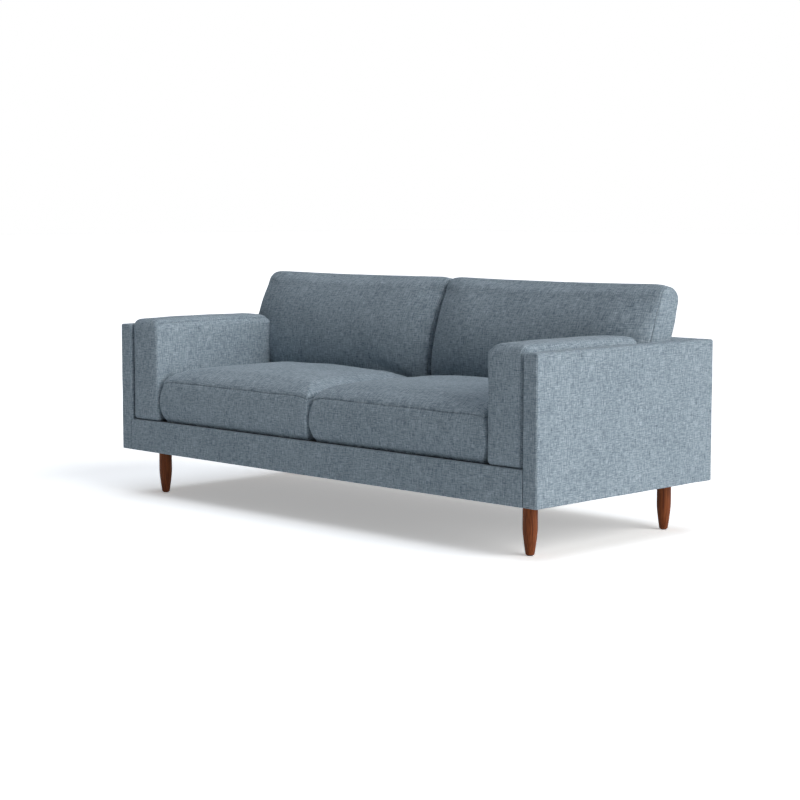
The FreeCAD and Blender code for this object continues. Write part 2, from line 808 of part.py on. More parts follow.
def strap(name, along):
    """A webbing strap across the ribs, a distance up the lean from the deck."""
    piece = doc.addObject("Part::Box", name)
    piece.Placement = Placement(Vector(), Rotation(Vector(-1, 0, 0), number("lean_angle")))
    bind(piece, Length=inner_width, Width="strap_thickness", Height="strap_width")
    bind(piece, **{"Placement.Rotation.Angle": "lean_angle"})
    low_y = f"{back_lining_y} + {along} * {lean_sin}"
    low_z = f"deck_height + {along} * {lean_cos}"
    move(piece, (f"-{inner_width} / 2", low_y, low_z))
    return piece


slope_length = f"(({rib_top} - deck_height) / {lean_cos})"
strap_pitch = f"(({slope_length} - strap_width) / {straps - 1})"
part(
    "back_webbing",
    group("back_webbing", [strap(f"strap_{row}", f"({row} * {strap_pitch})") for row in range(straps)]),
)


# Padded forms
# Each is a loft along X through closed outlines of four bowed sides and four round corners.
def bowed_outline(x, corners, cuts, bows, inset=0.0):
    """The outline at x. Corners are (y, z) pairs, cuts how far each round corner takes of its two sides."""
    corners = [Vector(x, y, z) for y, z in corners]
    count = len(corners)
    runs = [(corners[(i + 1) % count] - corners[i]).normalize() for i in range(count)]
    outward = [Vector(0, run.z, -run.y) for run in runs]
    moved = []
    for i, corner in enumerate(corners):
        both = outward[i - 1] + outward[i]
        moved.append(corner - both * (inset / (1 + outward[i - 1].dot(outward[i]))))
    kept = [[max(cut - inset, cut * least_round_share) for cut in pair] for pair in cuts]
    edges = []
    for i in range(count):
        before = moved[i] - runs[i - 1] * kept[i][0]
        after = moved[i] + runs[i] * kept[i][1]
        chord = (before + after) / 2
        edges.append(Part.Arc(before, chord + (moved[i] - chord) * round_share, after).toShape())
        finish = moved[(i + 1) % count] - runs[i] * kept[(i + 1) % count][0]
        if bows[i]:
            middle = (after + finish) / 2 + outward[i] * bows[i]
            edges.append(Part.Arc(after, middle, finish).toShape())
        else:
            edges.append(Part.LineSegment(after, finish).toShape())
    return Part.Wire(edges)


def padded_form(middle, width, end_radius, outline, inset=0.0):
    """A padded solid about middle, flat at its foot and rounded at its two ends.

    outline(x, fullness, inset) gives a section, with fullness 1 at the middle and 0 at the ends."""
    half = width / 2 - inset
    radius = max(end_radius - inset, end_radius * least_round_share)
    stations = [
        (half - share * radius, radius * (1 - math.sqrt(1 - (1 - share) ** 2)))
        for share in end_section_shares
    ]
    stations += [(share * (half - radius), 0.0) for share in middle_section_shares]
    sections = [(-along, drawn) for along, drawn in stations] + [(0.0, 0.0)]
    sections += [(along, drawn) for along, drawn in reversed(stations)]
    wires = []
    for along, drawn in sections:
        fullness = 1 - abs(along / half) ** crown_power
        wires.append(outline(middle + along, fullness, inset + drawn))
    solid, ruled = True, True
    return Part.makeLoft(wires, solid, ruled)


def padded_pieces(middle, width, end_radius, outline):
    """The cover's outer form, the hollow inside it, and the fill a little smaller than the hollow."""
    wall, gap = number("cover_wall"), number("fill_gap")
    return [padded_form(middle, width, end_radius, outline, inset) for inset in (0.0, wall, wall + gap)]


def zip_slot(middle, width, low, high):
    """The slot for a zip along X, from one (y, z) corner to the other."""
    length = width * zip_length_share
    return Part.makeBox(length, high[0] - low[0], high[1] - low[1], Vector(middle - length / 2, *low))


# Arm pads
# Firm bolsters that stand inside the side panels, each with a board in its outer side for the bolts.
def arm_pad_outline(x, fullness, inset):
    front = number(arm_pad_front)
    rear = number(f"{back_foot_y} - arm_pad_back_gap")
    low = number("deck_height")
    high = number(f"deck_height + {arm_pad_height}") + number("arm_pad_crown") * fullness
    foot, cut = number("arm_pad_foot_corner"), number("arm_pad_corner")
    corners = [(front, low), (rear, low), (rear, high), (front, high)]
    cuts = [(foot, foot), (foot, foot), (cut, cut), (cut, cut)]
    crown = number("arm_pad_crown")
    return bowed_outline(x, corners, cuts, (0.0, 0.0, crown, 0.0), inset)


for side, sign in sides.items():
    middle = number(f"{sign} * ({arm_pad_outside} - arm_pad_thickness / 2)")
    width = number("arm_pad_thickness")
    outer, hollow, fill = padded_pieces(middle, width, number("arm_pad_end_radius"), arm_pad_outline)
    bolt_holes = [
        Part.makeCylinder(
            number("arm_bolt_radius + fit_gap"),
            number("arm_pad_thickness / 2"),
            Vector(middle, number(y), number(z)),
            Vector(sign, 0, 0),
        )
        for y, z in arm_bolt_spots
    ]
    cover = outer.cut(hollow).cut(Part.makeCompound(bolt_holes))
    part(f"arm_pad_cover_{side}", shaped(f"arm_pad_cover_{side}", cover))
    board_length = f"{arm_pad_length} - 2 * arm_board_inset"
    board_height = f"{arm_pad_height} - 2 * arm_board_inset"
    board = box(
        f"arm_pad_board_blank_{side}",
        f"{sign} * ({arm_board_outside} - fit_gap - arm_board_thickness / 2)",
        f"{arm_pad_front} + arm_board_inset",
        "deck_height + arm_board_inset",
        ("arm_board_thickness", board_length, board_height),
    )
    board_holes = [
        rod(
            f"arm_pad_board_hole_{side}_{spot}",
            (f"{sign} * ({arm_board_inside} - fit_gap)", y, z),
            "arm_bolt_radius + fit_gap",
            "arm_board_thickness",
            "x" if sign > 0 else "-x",
        )
        for spot, (y, z) in enumerate(arm_bolt_spots)
    ]
    part(f"arm_pad_board_{side}", drill(f"arm_pad_board_{side}", board, board_holes))
    foam_reach = number(f"{arm_board_inside} - 2 * fit_gap")
    keep = fill.BoundBox
    depth = 2 * number("arm_pad_thickness")
    board_side = Part.makeBox(
        depth,
        keep.YLength,
        keep.ZLength,
        Vector(foam_reach if sign > 0 else -foam_reach - depth, keep.YMin, keep.ZMin),
    )
    part(f"arm_pad_foam_{side}", shaped(f"arm_pad_foam_{side}", fill.cut(board_side)))


# Seat cushions
# Boxed cushions with a high crown, seams drawn in at the middle and a front band that bows forward.
def seat_outline(x, fullness, inset):
    front = number(f"{front_face} + seat_setback") + number("seat_draw") * fullness
    rear_low = number(f"{cushion_foot_y} - seat_back_gap")
    rear_high = rear_low + number("seat_rear_lean")
    low = number("deck_height + rest_gap")
    seam = number("deck_height + seat_boxing")
    high = seam + number("seat_shoulder_rise")
    bottom = number("seat_bottom_corner")
    rise, run, rear_run = number("seat_shoulder_rise"), number("seat_shoulder_run"), number("seat_rear_run")
    corners = [(front, low), (rear_low, low), (rear_high, high), (front, high)]
    cuts = [(bottom, bottom), (bottom, bottom), (rise, rear_run), (run, rise)]
    bows = (0.0, number("seat_rear_bow"), number("seat_crown") * fullness, number("seat_front_bow"))
    return bowed_outline(x, corners, cuts, bows, inset)


# Back cushions
# They stand on the deck behind the seat cushions and lean on the back, full in front and round on top.
def back_cushion_outline(x, fullness, inset):
    low = number("deck_height + rest_gap")
    front_top = number("back_cushion_front_top")
    rear_top = number("back_cushion_rear_top")
    rear_foot = f"({back_foot_y} - rest_gap / {lean_cos})"
    corners = [
        (number(leaning(cushion_foot_y, "(deck_height + rest_gap)")), low),
        (number(leaning(rear_foot, "(deck_height + rest_gap)")), low),
        (number(leaning(rear_foot, "back_cushion_rear_top")), rear_top),
        (number(leaning(cushion_foot_y, "back_cushion_front_top")), front_top),
    ]
    foot, heel = number("back_foot_corner"), number("back_heel_corner")
    rear, brow = number("back_rear_corner"), number("back_brow_corner")
    cuts = [(foot, foot), (heel, heel), (rear, rear), (brow, brow)]
    bows = (0.0, 0.0, number("back_top_crown") * fullness, number("back_cushion_crown") * fullness)
    return bowed_outline(x, corners, cuts, bows, inset)


for side, sign in sides.items():
    seat_side = f"({arm_pad_outside} - arm_pad_thickness - seat_side_gap)"
    seat_width = number(f"{seat_side} - seat_middle_gap")
    middle = sign * number(f"({seat_side} + seat_middle_gap) / 2")
    outer, hollow, fill = padded_pieces(middle, seat_width, number("seat_end_radius"), seat_outline)
    rear_wall = number(f"{cushion_foot_y} - seat_back_gap - overrun")
    zip_low = number("deck_height + seat_boxing / 2 - zip_width / 2")
    zip_high = zip_low + number("zip_width")
    slot = zip_slot(middle, seat_width, (rear_wall, zip_low), (rear_wall + 2 * number("overrun"), zip_high))
    wall = outer.cut(hollow)
    part(f"seat_cover_{side}", shaped(f"seat_cover_{side}", wall.cut(slot)))
    part(f"seat_zip_{side}", shaped(f"seat_zip_{side}", wall.common(slot)))
    part(f"seat_foam_{side}", shaped(f"seat_foam_{side}", fill))

for side, sign in sides.items():
    back_side = f"({panel_inside} - back_side_gap)"
    back_width = number(f"{back_side} - back_middle_gap")
    middle = sign * number(f"({back_side} + back_middle_gap) / 2")
    outer, hollow, fill = padded_pieces(
        middle, back_width, number("back_end_radius"), back_cushion_outline
    )
    zip_y = number(f"{back_foot_y} - back_cushion_thickness / 2")
    slot = zip_slot(
        middle,
        back_width,
        (zip_y, number("deck_height - overrun")),
        (zip_y + number("zip_width"), number("deck_height + overrun")),
    )
    wall = outer.cut(hollow)
    part(f"back_cushion_cover_{side}", shaped(f"back_cushion_cover_{side}", wall.cut(slot)))
    part(f"back_cushion_zip_{side}", shaped(f"back_cushion_zip_{side}", wall.common(slot)))
    part(f"back_cushion_fill_{side}", shaped(f"back_cushion_fill_{side}", fill))

# Every piece is checked before anything is written
doc.recompute()
broken = [thing.Name for thing in doc.Objects if "Invalid" in thing.State or "Error" in thing.State]
if broken:
    raise RuntimeError("pieces that failed to build: " + ", ".join(broken))
for piece in nodes:
    if piece.Shape.isNull() or not piece.Shape.isValid() or not piece.Shape.Solids:
        raise RuntimeError(f"{piece.Label} has no sound solid")
for piece in nodes:
    piece.Shape.exportStep(f"parts/{piece.Label}.step")
print(f"{len(nodes)} sub-parts written")
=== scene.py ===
import bpy
import math
import numpy as np
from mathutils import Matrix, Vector


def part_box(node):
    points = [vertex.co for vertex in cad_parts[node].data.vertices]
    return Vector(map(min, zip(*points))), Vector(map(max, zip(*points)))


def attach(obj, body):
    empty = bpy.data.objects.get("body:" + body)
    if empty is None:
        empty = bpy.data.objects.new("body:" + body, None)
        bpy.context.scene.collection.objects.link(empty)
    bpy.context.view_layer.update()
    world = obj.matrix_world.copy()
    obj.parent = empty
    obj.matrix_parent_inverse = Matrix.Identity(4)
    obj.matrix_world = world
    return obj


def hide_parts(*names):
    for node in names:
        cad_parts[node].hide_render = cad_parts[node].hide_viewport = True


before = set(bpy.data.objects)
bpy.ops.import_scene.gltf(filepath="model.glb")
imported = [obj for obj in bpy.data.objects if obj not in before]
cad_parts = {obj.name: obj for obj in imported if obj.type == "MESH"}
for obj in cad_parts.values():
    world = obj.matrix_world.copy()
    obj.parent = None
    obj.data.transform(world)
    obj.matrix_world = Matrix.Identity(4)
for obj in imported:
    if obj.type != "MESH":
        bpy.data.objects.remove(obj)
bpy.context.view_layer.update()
sides = {"left": -1, "right": 1}
mm = 0.001
touch = 1e-6  # two places nearer than this are one
tiny = 1e-9  # keeps a divisor above zero
print("frame loaded:", len(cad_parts), "nodes")


# Cloth, wood and the other finishes
# Every pattern is procedural. Lengths are metres, divided into 1 where a texture wants a scale.
clothLook = {
    "shadeTone": (0.095, 0.132, 0.165, 1),
    "midTone": (0.3, 0.368, 0.424, 1),
    "lightTone": (0.6, 0.68, 0.74, 1),
    "tones": (0.37, 0.5, 0.64),
    "threadPitch": 1.5 * mm,
    "fineSlub": (16 * mm, 1.6 * mm),
    "fineShare": 0.27,
    "coarseSlub": (38 * mm, 3.4 * mm),
    "coarseShare": 0.23,
    "driftScale": (7, 7, 7),
    "driftShare": 0.06,
    "weaveRelief": 0.12,
    "slubRelief": 1.6,
    "relief": (0.55, 0.9 * mm),
    "surface": {"Roughness": 0.92, "Specular IOR Level": 0.25, "Sheen Weight": 0.04, "Sheen Roughness": 0.5},
    # the line along a seam is painted shade of its groove: its tone, width, stitch pitch, dip at each stitch
    # and strength
    "seamShadeTone": (0.03, 0.036, 0.042, 1),
    "seamWidth": 1.3 * mm,
    "stitchPitch": 5 * mm,
    "stitchDip": 0.25,
    "seamShadeStrength": 0.62,
}


def newMaterial(name):
    material = bpy.data.materials.new(name)
    material.use_nodes = True
    tree = material.node_tree
    return material, tree, tree.nodes["Principled BSDF"]


def setInputs(tree, node, inputs):
    # each socket, by its name or by i and its number, gets a plain value or a link from another socket
    for key, value in inputs.items():
        socket = node.inputs[int(key[1:])] if key[1:].isdigit() else node.inputs[key]
        if isinstance(value, bpy.types.NodeSocket):
            tree.links.new(value, socket)
        else:
            socket.default_value = value


def addNode(tree, kind, settings=(), **inputs):
    node = tree.nodes.new(kind)
    for key, value in dict(settings).items():
        setattr(node, key, value)
    setInputs(tree, node, inputs)
    return node


def mathNode(tree, operation, first, second=0.0):
    return addNode(tree, "ShaderNodeMath", {"operation": operation}, i0=first, i1=second).outputs[0]


def weighted(tree, *terms):
    # the sum of some sockets, each times its weight
    total = None
    for socket, weight in terms:
        part = mathNode(tree, "MULTIPLY", socket, weight)
        total = part if total is None else mathNode(tree, "ADD", total, part)
    return total


def mixedColour(tree, share, first, second):
    mix = addNode(tree, "ShaderNodeMix", {"data_type": "RGBA"}, i0=share, i6=first, i7=second)
    return mix.outputs[2]


def sineOf(tree, socket, pitch):
    return mathNode(tree, "SINE", mathNode(tree, "MULTIPLY", socket, 2 * math.pi / pitch))


def noiseAt(tree, vector, scale, offset, detail=2.0, roughness=0.55):
    # noise stretched by a different scale each way, moved aside so that no two of them match
    aside = (offset, offset * 0.7, offset * 1.3)
    mapped = addNode(tree, "ShaderNodeMapping", Vector=vector, Location=aside, Scale=scale)
    noise = addNode(
        tree, "ShaderNodeTexNoise", Vector=mapped.outputs[0], Scale=1.0, Detail=detail, Roughness=roughness
    )
    return noise.outputs[0]


def colourRamp(tree, factor, stops):
    ramp = addNode(tree, "ShaderNodeValToRGB", Fac=factor)
    elements = ramp.color_ramp.elements
    while len(elements) < len(stops):
        elements.new(0.5)
    for element, (place, colour) in zip(elements, stops):
        element.position = place
        element.color = colour
    return ramp.outputs[0]


def finishShader(tree, shader, colour, height, relief, inputs):
    # the colour, a relief with its strength and depth, and the plain values of other sockets
    bump = addNode(tree, "ShaderNodeBump", Height=height, Strength=relief[0], Distance=relief[1])
    setInputs(tree, shader, {"Base Color": colour, "Normal": bump.outputs[0]} | inputs)


def clothMaterial(name, look):
    # a plain weave of uneven yarn: slubs run both ways, each a noise drawn out along its thread; a seam has
    # a dark line of painted shade for its groove, broken once each stitch, where the distance to it is small
    material, tree, shader = newMaterial(name)
    flat = addNode(tree, "ShaderNodeUVMap", {"uv_map": "threads"}).outputs[0]
    slubs = []
    for offset, size in ((3.1, "fine"), (17.7, "coarse")):
        along, across = look[size + "Slub"]
        warp = noiseAt(tree, flat, (1 / along, 1 / across, 1 / along), offset)
        weft = noiseAt(tree, flat, (1 / across, 1 / along, 1 / along), offset + 5.3)
        slubs.append((mathNode(tree, "ADD", warp, weft), look[size + "Share"]))
    slub = weighted(tree, *slubs)
    drift = noiseAt(tree, flat, look["driftScale"], 41.0, detail=3.0)
    drift = mathNode(tree, "SUBTRACT", drift, 0.5)
    tone = weighted(tree, (slub, 1.0), (drift, look["driftShare"]))
    stops = [(place, look[each + "Tone"]) for place, each in zip(look["tones"], ("shade", "mid", "light"))]
    colour = colourRamp(tree, tone, stops)
    axes = addNode(tree, "ShaderNodeSeparateXYZ", Vector=flat)
    # painted shade of a seam's groove, broken once each stitch, dark where the distance to the seam is small
    along = mathNode(tree, "ADD", axes.outputs["X"], axes.outputs["Y"])
    stitch = mathNode(tree, "MULTIPLY", sineOf(tree, along, look["stitchPitch"]), look["stitchDip"])
    stitch = mathNode(tree, "ADD", stitch, 1 - look["stitchDip"])
    away = addNode(tree, "ShaderNodeAttribute", {"attribute_name": "seamAway"}).outputs["Fac"]
    near = mathNode(tree, "SUBTRACT", 1.0, mathNode(tree, "MULTIPLY", away, 1 / look["seamWidth"]))
    near = addNode(tree, "ShaderNodeClamp", Value=near).outputs[0]
    dark = mathNode(tree, "MULTIPLY", mathNode(tree, "MULTIPLY", near, stitch), look["seamShadeStrength"])
    waves = [sineOf(tree, axes.outputs[axis], look["threadPitch"]) for axis in ("X", "Y")]
    weave = mathNode(tree, "MULTIPLY", *waves)
    height = weighted(tree, (weave, look["weaveRelief"]), (slub, look["slubRelief"]), (near, -1.0))
    # the painted seam shade is mixed into the yarn's colour
    colour = mixedColour(tree, dark, colour, look["seamShadeTone"])
    finishShader(tree, shader, colour, height, look["relief"], look["surface"])
    return material


woodLook = {
    "legDark": (0.096, 0.023, 0.008, 1),
    "legLight": (0.325, 0.092, 0.029, 1),
    "pineDark": (0.42, 0.27, 0.14, 1),
    "pineLight": (0.66, 0.48, 0.29, 1),
    "plyDark": (0.48, 0.33, 0.19, 1),
    "plyLight": (0.72, 0.56, 0.37, 1),
    "grainLength": 160 * mm,
    "grainWidth": 5 * mm,
    "bendScale": 9.0,
    "bend": 12 * mm,
    "poreFineness": 6,
    "poreShare": 0.2,
    "relief": (0.25, 0.2 * mm),
    "tones": (0.34, 0.66),
}
# for plain finishes and tapes: where their tones lie, and their relief's strength
plainLook = {"mottleTones": (0.3, 0.7), "mottleRelief": 0.4}
tapeLook = {"tones": (0.25, 0.75), "ribShare": 0.2, "mottleScale": (300, 300, 300), "relief": (0.5, 0.4 * mm)}


def grainMaterial(name, kind, along, roughness, gloss=0.5):
    # wood whose grain runs along one axis: noise drawn out that way, bent by a slow noise, with pores over it
    look = woodLook
    material, tree, shader = newMaterial(name)
    place = addNode(tree, "ShaderNodeTexCoord").outputs["Object"]
    scale = [1 / look["grainWidth"]] * 3
    scale["xyz".index(along)] = 1 / look["grainLength"]
    slow = addNode(tree, "ShaderNodeTexNoise", Vector=place, Scale=look["bendScale"], Detail=1.0)
    bend = {"i0": slow.outputs["Color"], "i1": (look["bend"],) * 3, "i2": place}
    bent = addNode(tree, "ShaderNodeVectorMath", {"operation": "MULTIPLY_ADD"}, **bend).outputs[0]
    figure = noiseAt(tree, bent, scale, 2.0, detail=5.0, roughness=0.6)
    pores = noiseAt(tree, place, [look["poreFineness"] * each for each in scale], 9.0)
    mixed = weighted(tree, (figure, 1 - look["poreShare"]), (pores, look["poreShare"]))
    stops = zip(look["tones"], (look[kind + "Dark"], look[kind + "Light"]))
    colour = colourRamp(tree, mixed, list(stops))
    surface = {"Roughness": roughness, "Specular IOR Level": gloss}
    finishShader(tree, shader, colour, pores, look["relief"], surface)
    return material


def mottledMaterial(name, dark, light, grain, roughness, relief, metallic=0.0):
    # a fine even mottle for felt, black cloth, plastic and plain metal
    material, tree, shader = newMaterial(name)
    place = addNode(tree, "ShaderNodeTexCoord").outputs["Object"]
    mottle = noiseAt(tree, place, (1 / grain,) * 3, 6.0, detail=4.0)
    colour = colourRamp(tree, mottle, list(zip(plainLook["mottleTones"], ((*dark, 1), (*light, 1)))))
    surface = {"Roughness": roughness, "Metallic": metallic}
    finishShader(tree, shader, colour, mottle, (plainLook["mottleRelief"], relief), surface)
    return material


def ribbedMaterial(name, dark, light, axis, pitch, roughness):
    # woven tape: fine ribs across one axis with a mottle over them
    material, tree, shader = newMaterial(name)
    place = addNode(tree, "ShaderNodeTexCoord").outputs["Object"]
    axes = addNode(tree, "ShaderNodeSeparateXYZ", Vector=place)
    ribs = mathNode(tree, "MULTIPLY", sineOf(tree, axes.outputs[axis], pitch), tapeLook["ribShare"])
    both = mathNode(tree, "ADD", ribs, noiseAt(tree, place, tapeLook["mottleScale"], 4.0))
    colour = colourRamp(tree, both, list(zip(tapeLook["tones"], ((*dark, 1), (*light, 1)))))
    finishShader(tree, shader, colour, both, tapeLook["relief"], {"Roughness": roughness})
    return material


upholstery = clothMaterial("blueGreyCloth", clothLook)
walnut = grainMaterial("walnutLegs", "leg", "z", 0.45, gloss=0.14)
pineAcross = grainMaterial("pineAcross", "pine", "x", 0.7)
pineDeep = grainMaterial("pineDeep", "pine", "y", 0.7)
plywood = grainMaterial("plywood", "ply", "z", 0.65)
felt = mottledMaterial("feltPad", (0.1, 0.1, 0.1), (0.3, 0.29, 0.27), 3 * mm, 0.95, 0.8 * mm)
zinc = mottledMaterial("zincSteel", (0.55, 0.56, 0.57), (0.68, 0.69, 0.7), 1 * mm, 0.35, 0.05 * mm, 1.0)
springWire = mottledMaterial("springWire", (0.2, 0.2, 0.21), (0.32, 0.32, 0.33), 1 * mm, 0.45, 0.05 * mm, 1.0)
nylon = mottledMaterial("glideNylon", (0.012, 0.012, 0.012), (0.03, 0.03, 0.03), 2 * mm, 0.5, 0.1 * mm)
webbing = ribbedMaterial("webbing", (0.26, 0.2, 0.11), (0.48, 0.4, 0.25), "Z", 3 * mm, 0.9)
zipTape = ribbedMaterial("zipTape", (0.05, 0.07, 0.09), (0.14, 0.18, 0.21), "X", 2.4 * mm, 0.7)
blackCloth = mottledMaterial(
    "blackCambric", (0.01, 0.01, 0.011), (0.028, 0.028, 0.03), 1.5 * mm, 0.95, 0.2 * mm
)
print("materials made")


# Surfaces
# A block's whole surface is one closed mesh of six grids that share their borders.
def gridLines(low, high, step, rounds=(0.0, 0.0), close=(), turnSteps=4):
    # places about one step apart; in a rounded stretch they are at equal angles of the round, and close gives
    # more of them, by their distances from both ends, for the groove of a seam
    turn = np.tan(np.linspace(0, math.pi / 4, turnSteps + 1))[1:]
    start, stop = low + rounds[0], high - rounds[1]
    lines = [np.linspace(start, stop, max(2, round((stop - start) / step)) + 1)]
    lines += [start - rounds[0] * turn, stop + rounds[1] * turn]
    lines += [[low + each, high - each] for each in close]
    return np.unique(np.round(np.concatenate(lines), 7))


def blockLines(low, high, rounds, turnSteps, step, close=()):
    # the grid lines of a block along its three axes
    return [gridLines(low[axis], high[axis], step, rounds[axis], close, turnSteps[axis]) for axis in range(3)]


def blockSurface(lines):
    # the points of the six grids, their quads facing outwards, the face that each quad is on, and the number
    # that each place of the whole grid has among the points
    counts = tuple(len(each) for each in lines)
    places = np.stack(np.meshgrid(*lines, indexing="ij"), axis=-1)
    onSurface = np.ones(counts, bool)
    onSurface[1:-1, 1:-1, 1:-1] = False
    number = np.full(counts, -1)
    number[onSurface] = np.arange(onSurface.sum())
    quads, faces = [], []
    for axis in range(3):
        for end in (0, 1):
            sheet = np.take(number, -end, axis=axis)
            corners = [sheet[:-1, :-1], sheet[1:, :-1], sheet[1:, 1:], sheet[:-1, 1:]]
            if (axis == 1) == (end == 1):
                corners = corners[::-1]
            quads.append(np.stack(corners, axis=-1).reshape(-1, 4))
            faces.append(np.full(len(quads[-1]), 2 * axis + end))
    return places[onSurface], np.concatenate(quads), np.concatenate(faces), number


def blendWeights(coarse, fine):
    # how much each coarse line gives to each fine one: a cubic through four neighbours, counted in lines
    place = np.interp(fine, coarse, np.arange(len(coarse)))
    first = np.minimum(place.astype(int), len(coarse) - 2)
    t = place - first
    shares = [(-t + 2 * t**2 - t**3) / 2, (2 - 5 * t**2 + 3 * t**3) / 2]
    shares += [(t + 4 * t**2 - 3 * t**3) / 2, (t**3 - t**2) / 2]
    weights = np.zeros((len(fine), len(coarse)))
    for offset, share in zip((-1, 0, 1, 2), shares):
        np.add.at(weights, (np.arange(len(fine)), np.clip(first + offset, 0, len(coarse) - 1)), share)
    return weights


def carryMoves(moves, coarseLines, coarseNumber, fineLines, fineNumber):
    # moves of the coarse grid's points, read off face by face for the points of the fine grid
    carried = np.zeros((fineNumber.max() + 1, 3))
    weights = [blendWeights(coarse, fine) for coarse, fine in zip(coarseLines, fineLines)]
    for axis in range(3):
        first, second = [each for each in range(3) if each != axis]
        for end in (0, -1):
            sheet = moves[np.take(coarseNumber, end, axis=axis)]
            across = np.einsum("ki,ijc->kjc", weights[first], sheet)
            carried[np.take(fineNumber, end, axis=axis)] = np.einsum("lj,kjc->klc", weights[second], across)
    return carried


def squareToDisc(spare):
    # a square of side one drawn onto a disc: a point's way out from the middle, and how far it goes that way
    length = np.maximum(np.linalg.norm(spare, axis=1, keepdims=True), tiny)
    return spare / length, np.abs(spare).max(axis=1, keepdims=True)


def roundCorners(points, low, high, lowRadius, highRadius):
    # what a point has beyond the block less its radii is drawn onto a disc and given the radii back
    core = np.clip(points, low + lowRadius, high - highRadius)
    radius = np.where(points < core, lowRadius, np.where(points > core, highRadius, 1.0))
    way, reach = squareToDisc((points - core) / np.maximum(radius, tiny))
    return core + radius * way * reach


def middleHalf(low, high):
    return (low + high) / 2, (high - low) / 2


def unit(value):
    # held between 0 and 1
    return np.clip(value, 0, 1)


def borderAway(flat, low, high, axes):
    # how far a point of the block is from the nearest of its borders on those axes
    gaps = [np.minimum(flat[:, axis] - low[axis], high[axis] - flat[:, axis]) for axis in axes]
    return np.min(gaps, axis=0)


def endSeams(flat, low, high):
    # how far it is along the surface to the nearer of the seams round the two end faces
    return borderAway(flat, low, high, (0,)) + borderAway(flat, low, high, (1, 2))


def roundPrism(flat, low, high, corner, edge):
    # a block along x whose outline in y and z has round corners, and whose end faces have a round edge: the
    # outline is rounded first, then each point near an end is drawn in along the outline's own normal
    corner = corner[:, None]
    core = np.clip(flat[:, 1:], low[1:] + corner, high[1:] - corner)
    way, reach = squareToDisc((flat[:, 1:] - core) / corner)
    outline = core + corner * way * reach
    middle, half = middleHalf(low[0], high[0])
    away = flat[:, 0] - middle
    endShare = unit((np.abs(away) - half + edge) / edge)
    sideShare = unit(1 - borderAway(flat, low, high, (1, 2)) / edge)
    disc = np.maximum(endShare, sideShare) / np.maximum(np.hypot(endShare, sideShare), tiny)
    x = middle + np.sign(away) * (np.minimum(np.abs(away), half - edge) + edge * endShare * disc)
    return np.column_stack([x, outline + edge * (sideShare * disc - sideShare)[:, None] * way])


def slowNoise(points, size, seed, waves=9):
    # a sum of plane sine waves of random direction and phase, between about -1 and 1
    rng = np.random.default_rng(seed)
    directions = rng.normal(size=(waves, 3))
    directions /= np.linalg.norm(directions, axis=1, keepdims=True)
    lengths = size * rng.uniform(0.7, 1.6, waves)
    phases = rng.uniform(0, 2 * math.pi, waves)
    turns = directions * 2 * math.pi / lengths[:, None]
    return np.sin(points @ turns.T + phases).sum(axis=1) / math.sqrt(waves)


def waveOf(points, look, side):
    # a piece's own slow unevenness, another one on each side
    return look["wave"] * slowNoise(points, look["waveSize"], look["waveSeed"] + sides[side])


def vertexNormals(points, quads):
    # the sum of the cross products of each quad's diagonals, at its four corners
    first, second, third, fourth = (points[quads[:, corner]] for corner in range(4))
    diagonals = np.cross(third - first, fourth - second)
    normals = np.zeros_like(points)
    for corner in range(4):
        np.add.at(normals, quads[:, corner], diagonals)
    return normals / np.maximum(np.linalg.norm(normals, axis=1, keepdims=True), 1e-12)


def addObject(name, data):
    added = bpy.data.objects.new(name, data)
    bpy.context.scene.collection.objects.link(added)
    return added


def makePiece(name, points, quads, threads=None, seamAway=None):
    # a mesh object with its thread map and its distance from the nearest seam, for the painted seam shade
    mesh = bpy.data.meshes.new(name)
    mesh.from_pydata(points.tolist(), [], quads if isinstance(quads, list) else quads.tolist())
    if threads is not None:
        layer = mesh.uv_layers.new(name="threads")
        layer.data.foreach_set("uv", threads.astype(np.float32).ravel())
    if seamAway is not None:
        attribute = mesh.attributes.new("seamAway", "FLOAT", "POINT")
        attribute.data.foreach_set("value", seamAway.astype(np.float32))
    mesh.polygons.foreach_set("use_smooth", np.ones(len(quads), bool))
    mesh.update()
    return addObject(name, mesh)


def threadMap(flat, quads, faces):
    # cloth laid flat on each face of the block; round the front, top and rear it is one strip, whose second
    # coordinate is the way round it, and the two ends are cut from the cloth elsewhere
    x, y, z = np.moveaxis(flat[quads], -1, 0)
    low, high = flat.min(axis=0), flat.max(axis=0)
    endStart, leftStart, rightStart = 7.0, 3.0, 5.0
    across = np.where((faces < 2)[:, None], y + endStart, x)
    inward = y - low[1]
    rows = {2: z, 5: high[2] + inward, 3: high[2] + (high[1] - low[1]) + (high[2] - z), 4: low[2] - inward}
    rows |= {0: z + leftStart, 1: z + rightStart}
    up = np.zeros_like(x)
    for face, row in rows.items():
        up[faces == face] = row[faces == face]
    return np.stack([across, up], axis=-1).reshape(-1, 2)


def smoothOnce(piece):
    finish = piece.modifiers.new("smoothSurface", "SUBSURF")
    finish.levels = finish.render_levels = 1
    finish.use_limit_surface = False


def dress(piece, body, nodes, material):
    piece.data.materials.append(material)
    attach(piece, body)
    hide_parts(*nodes)


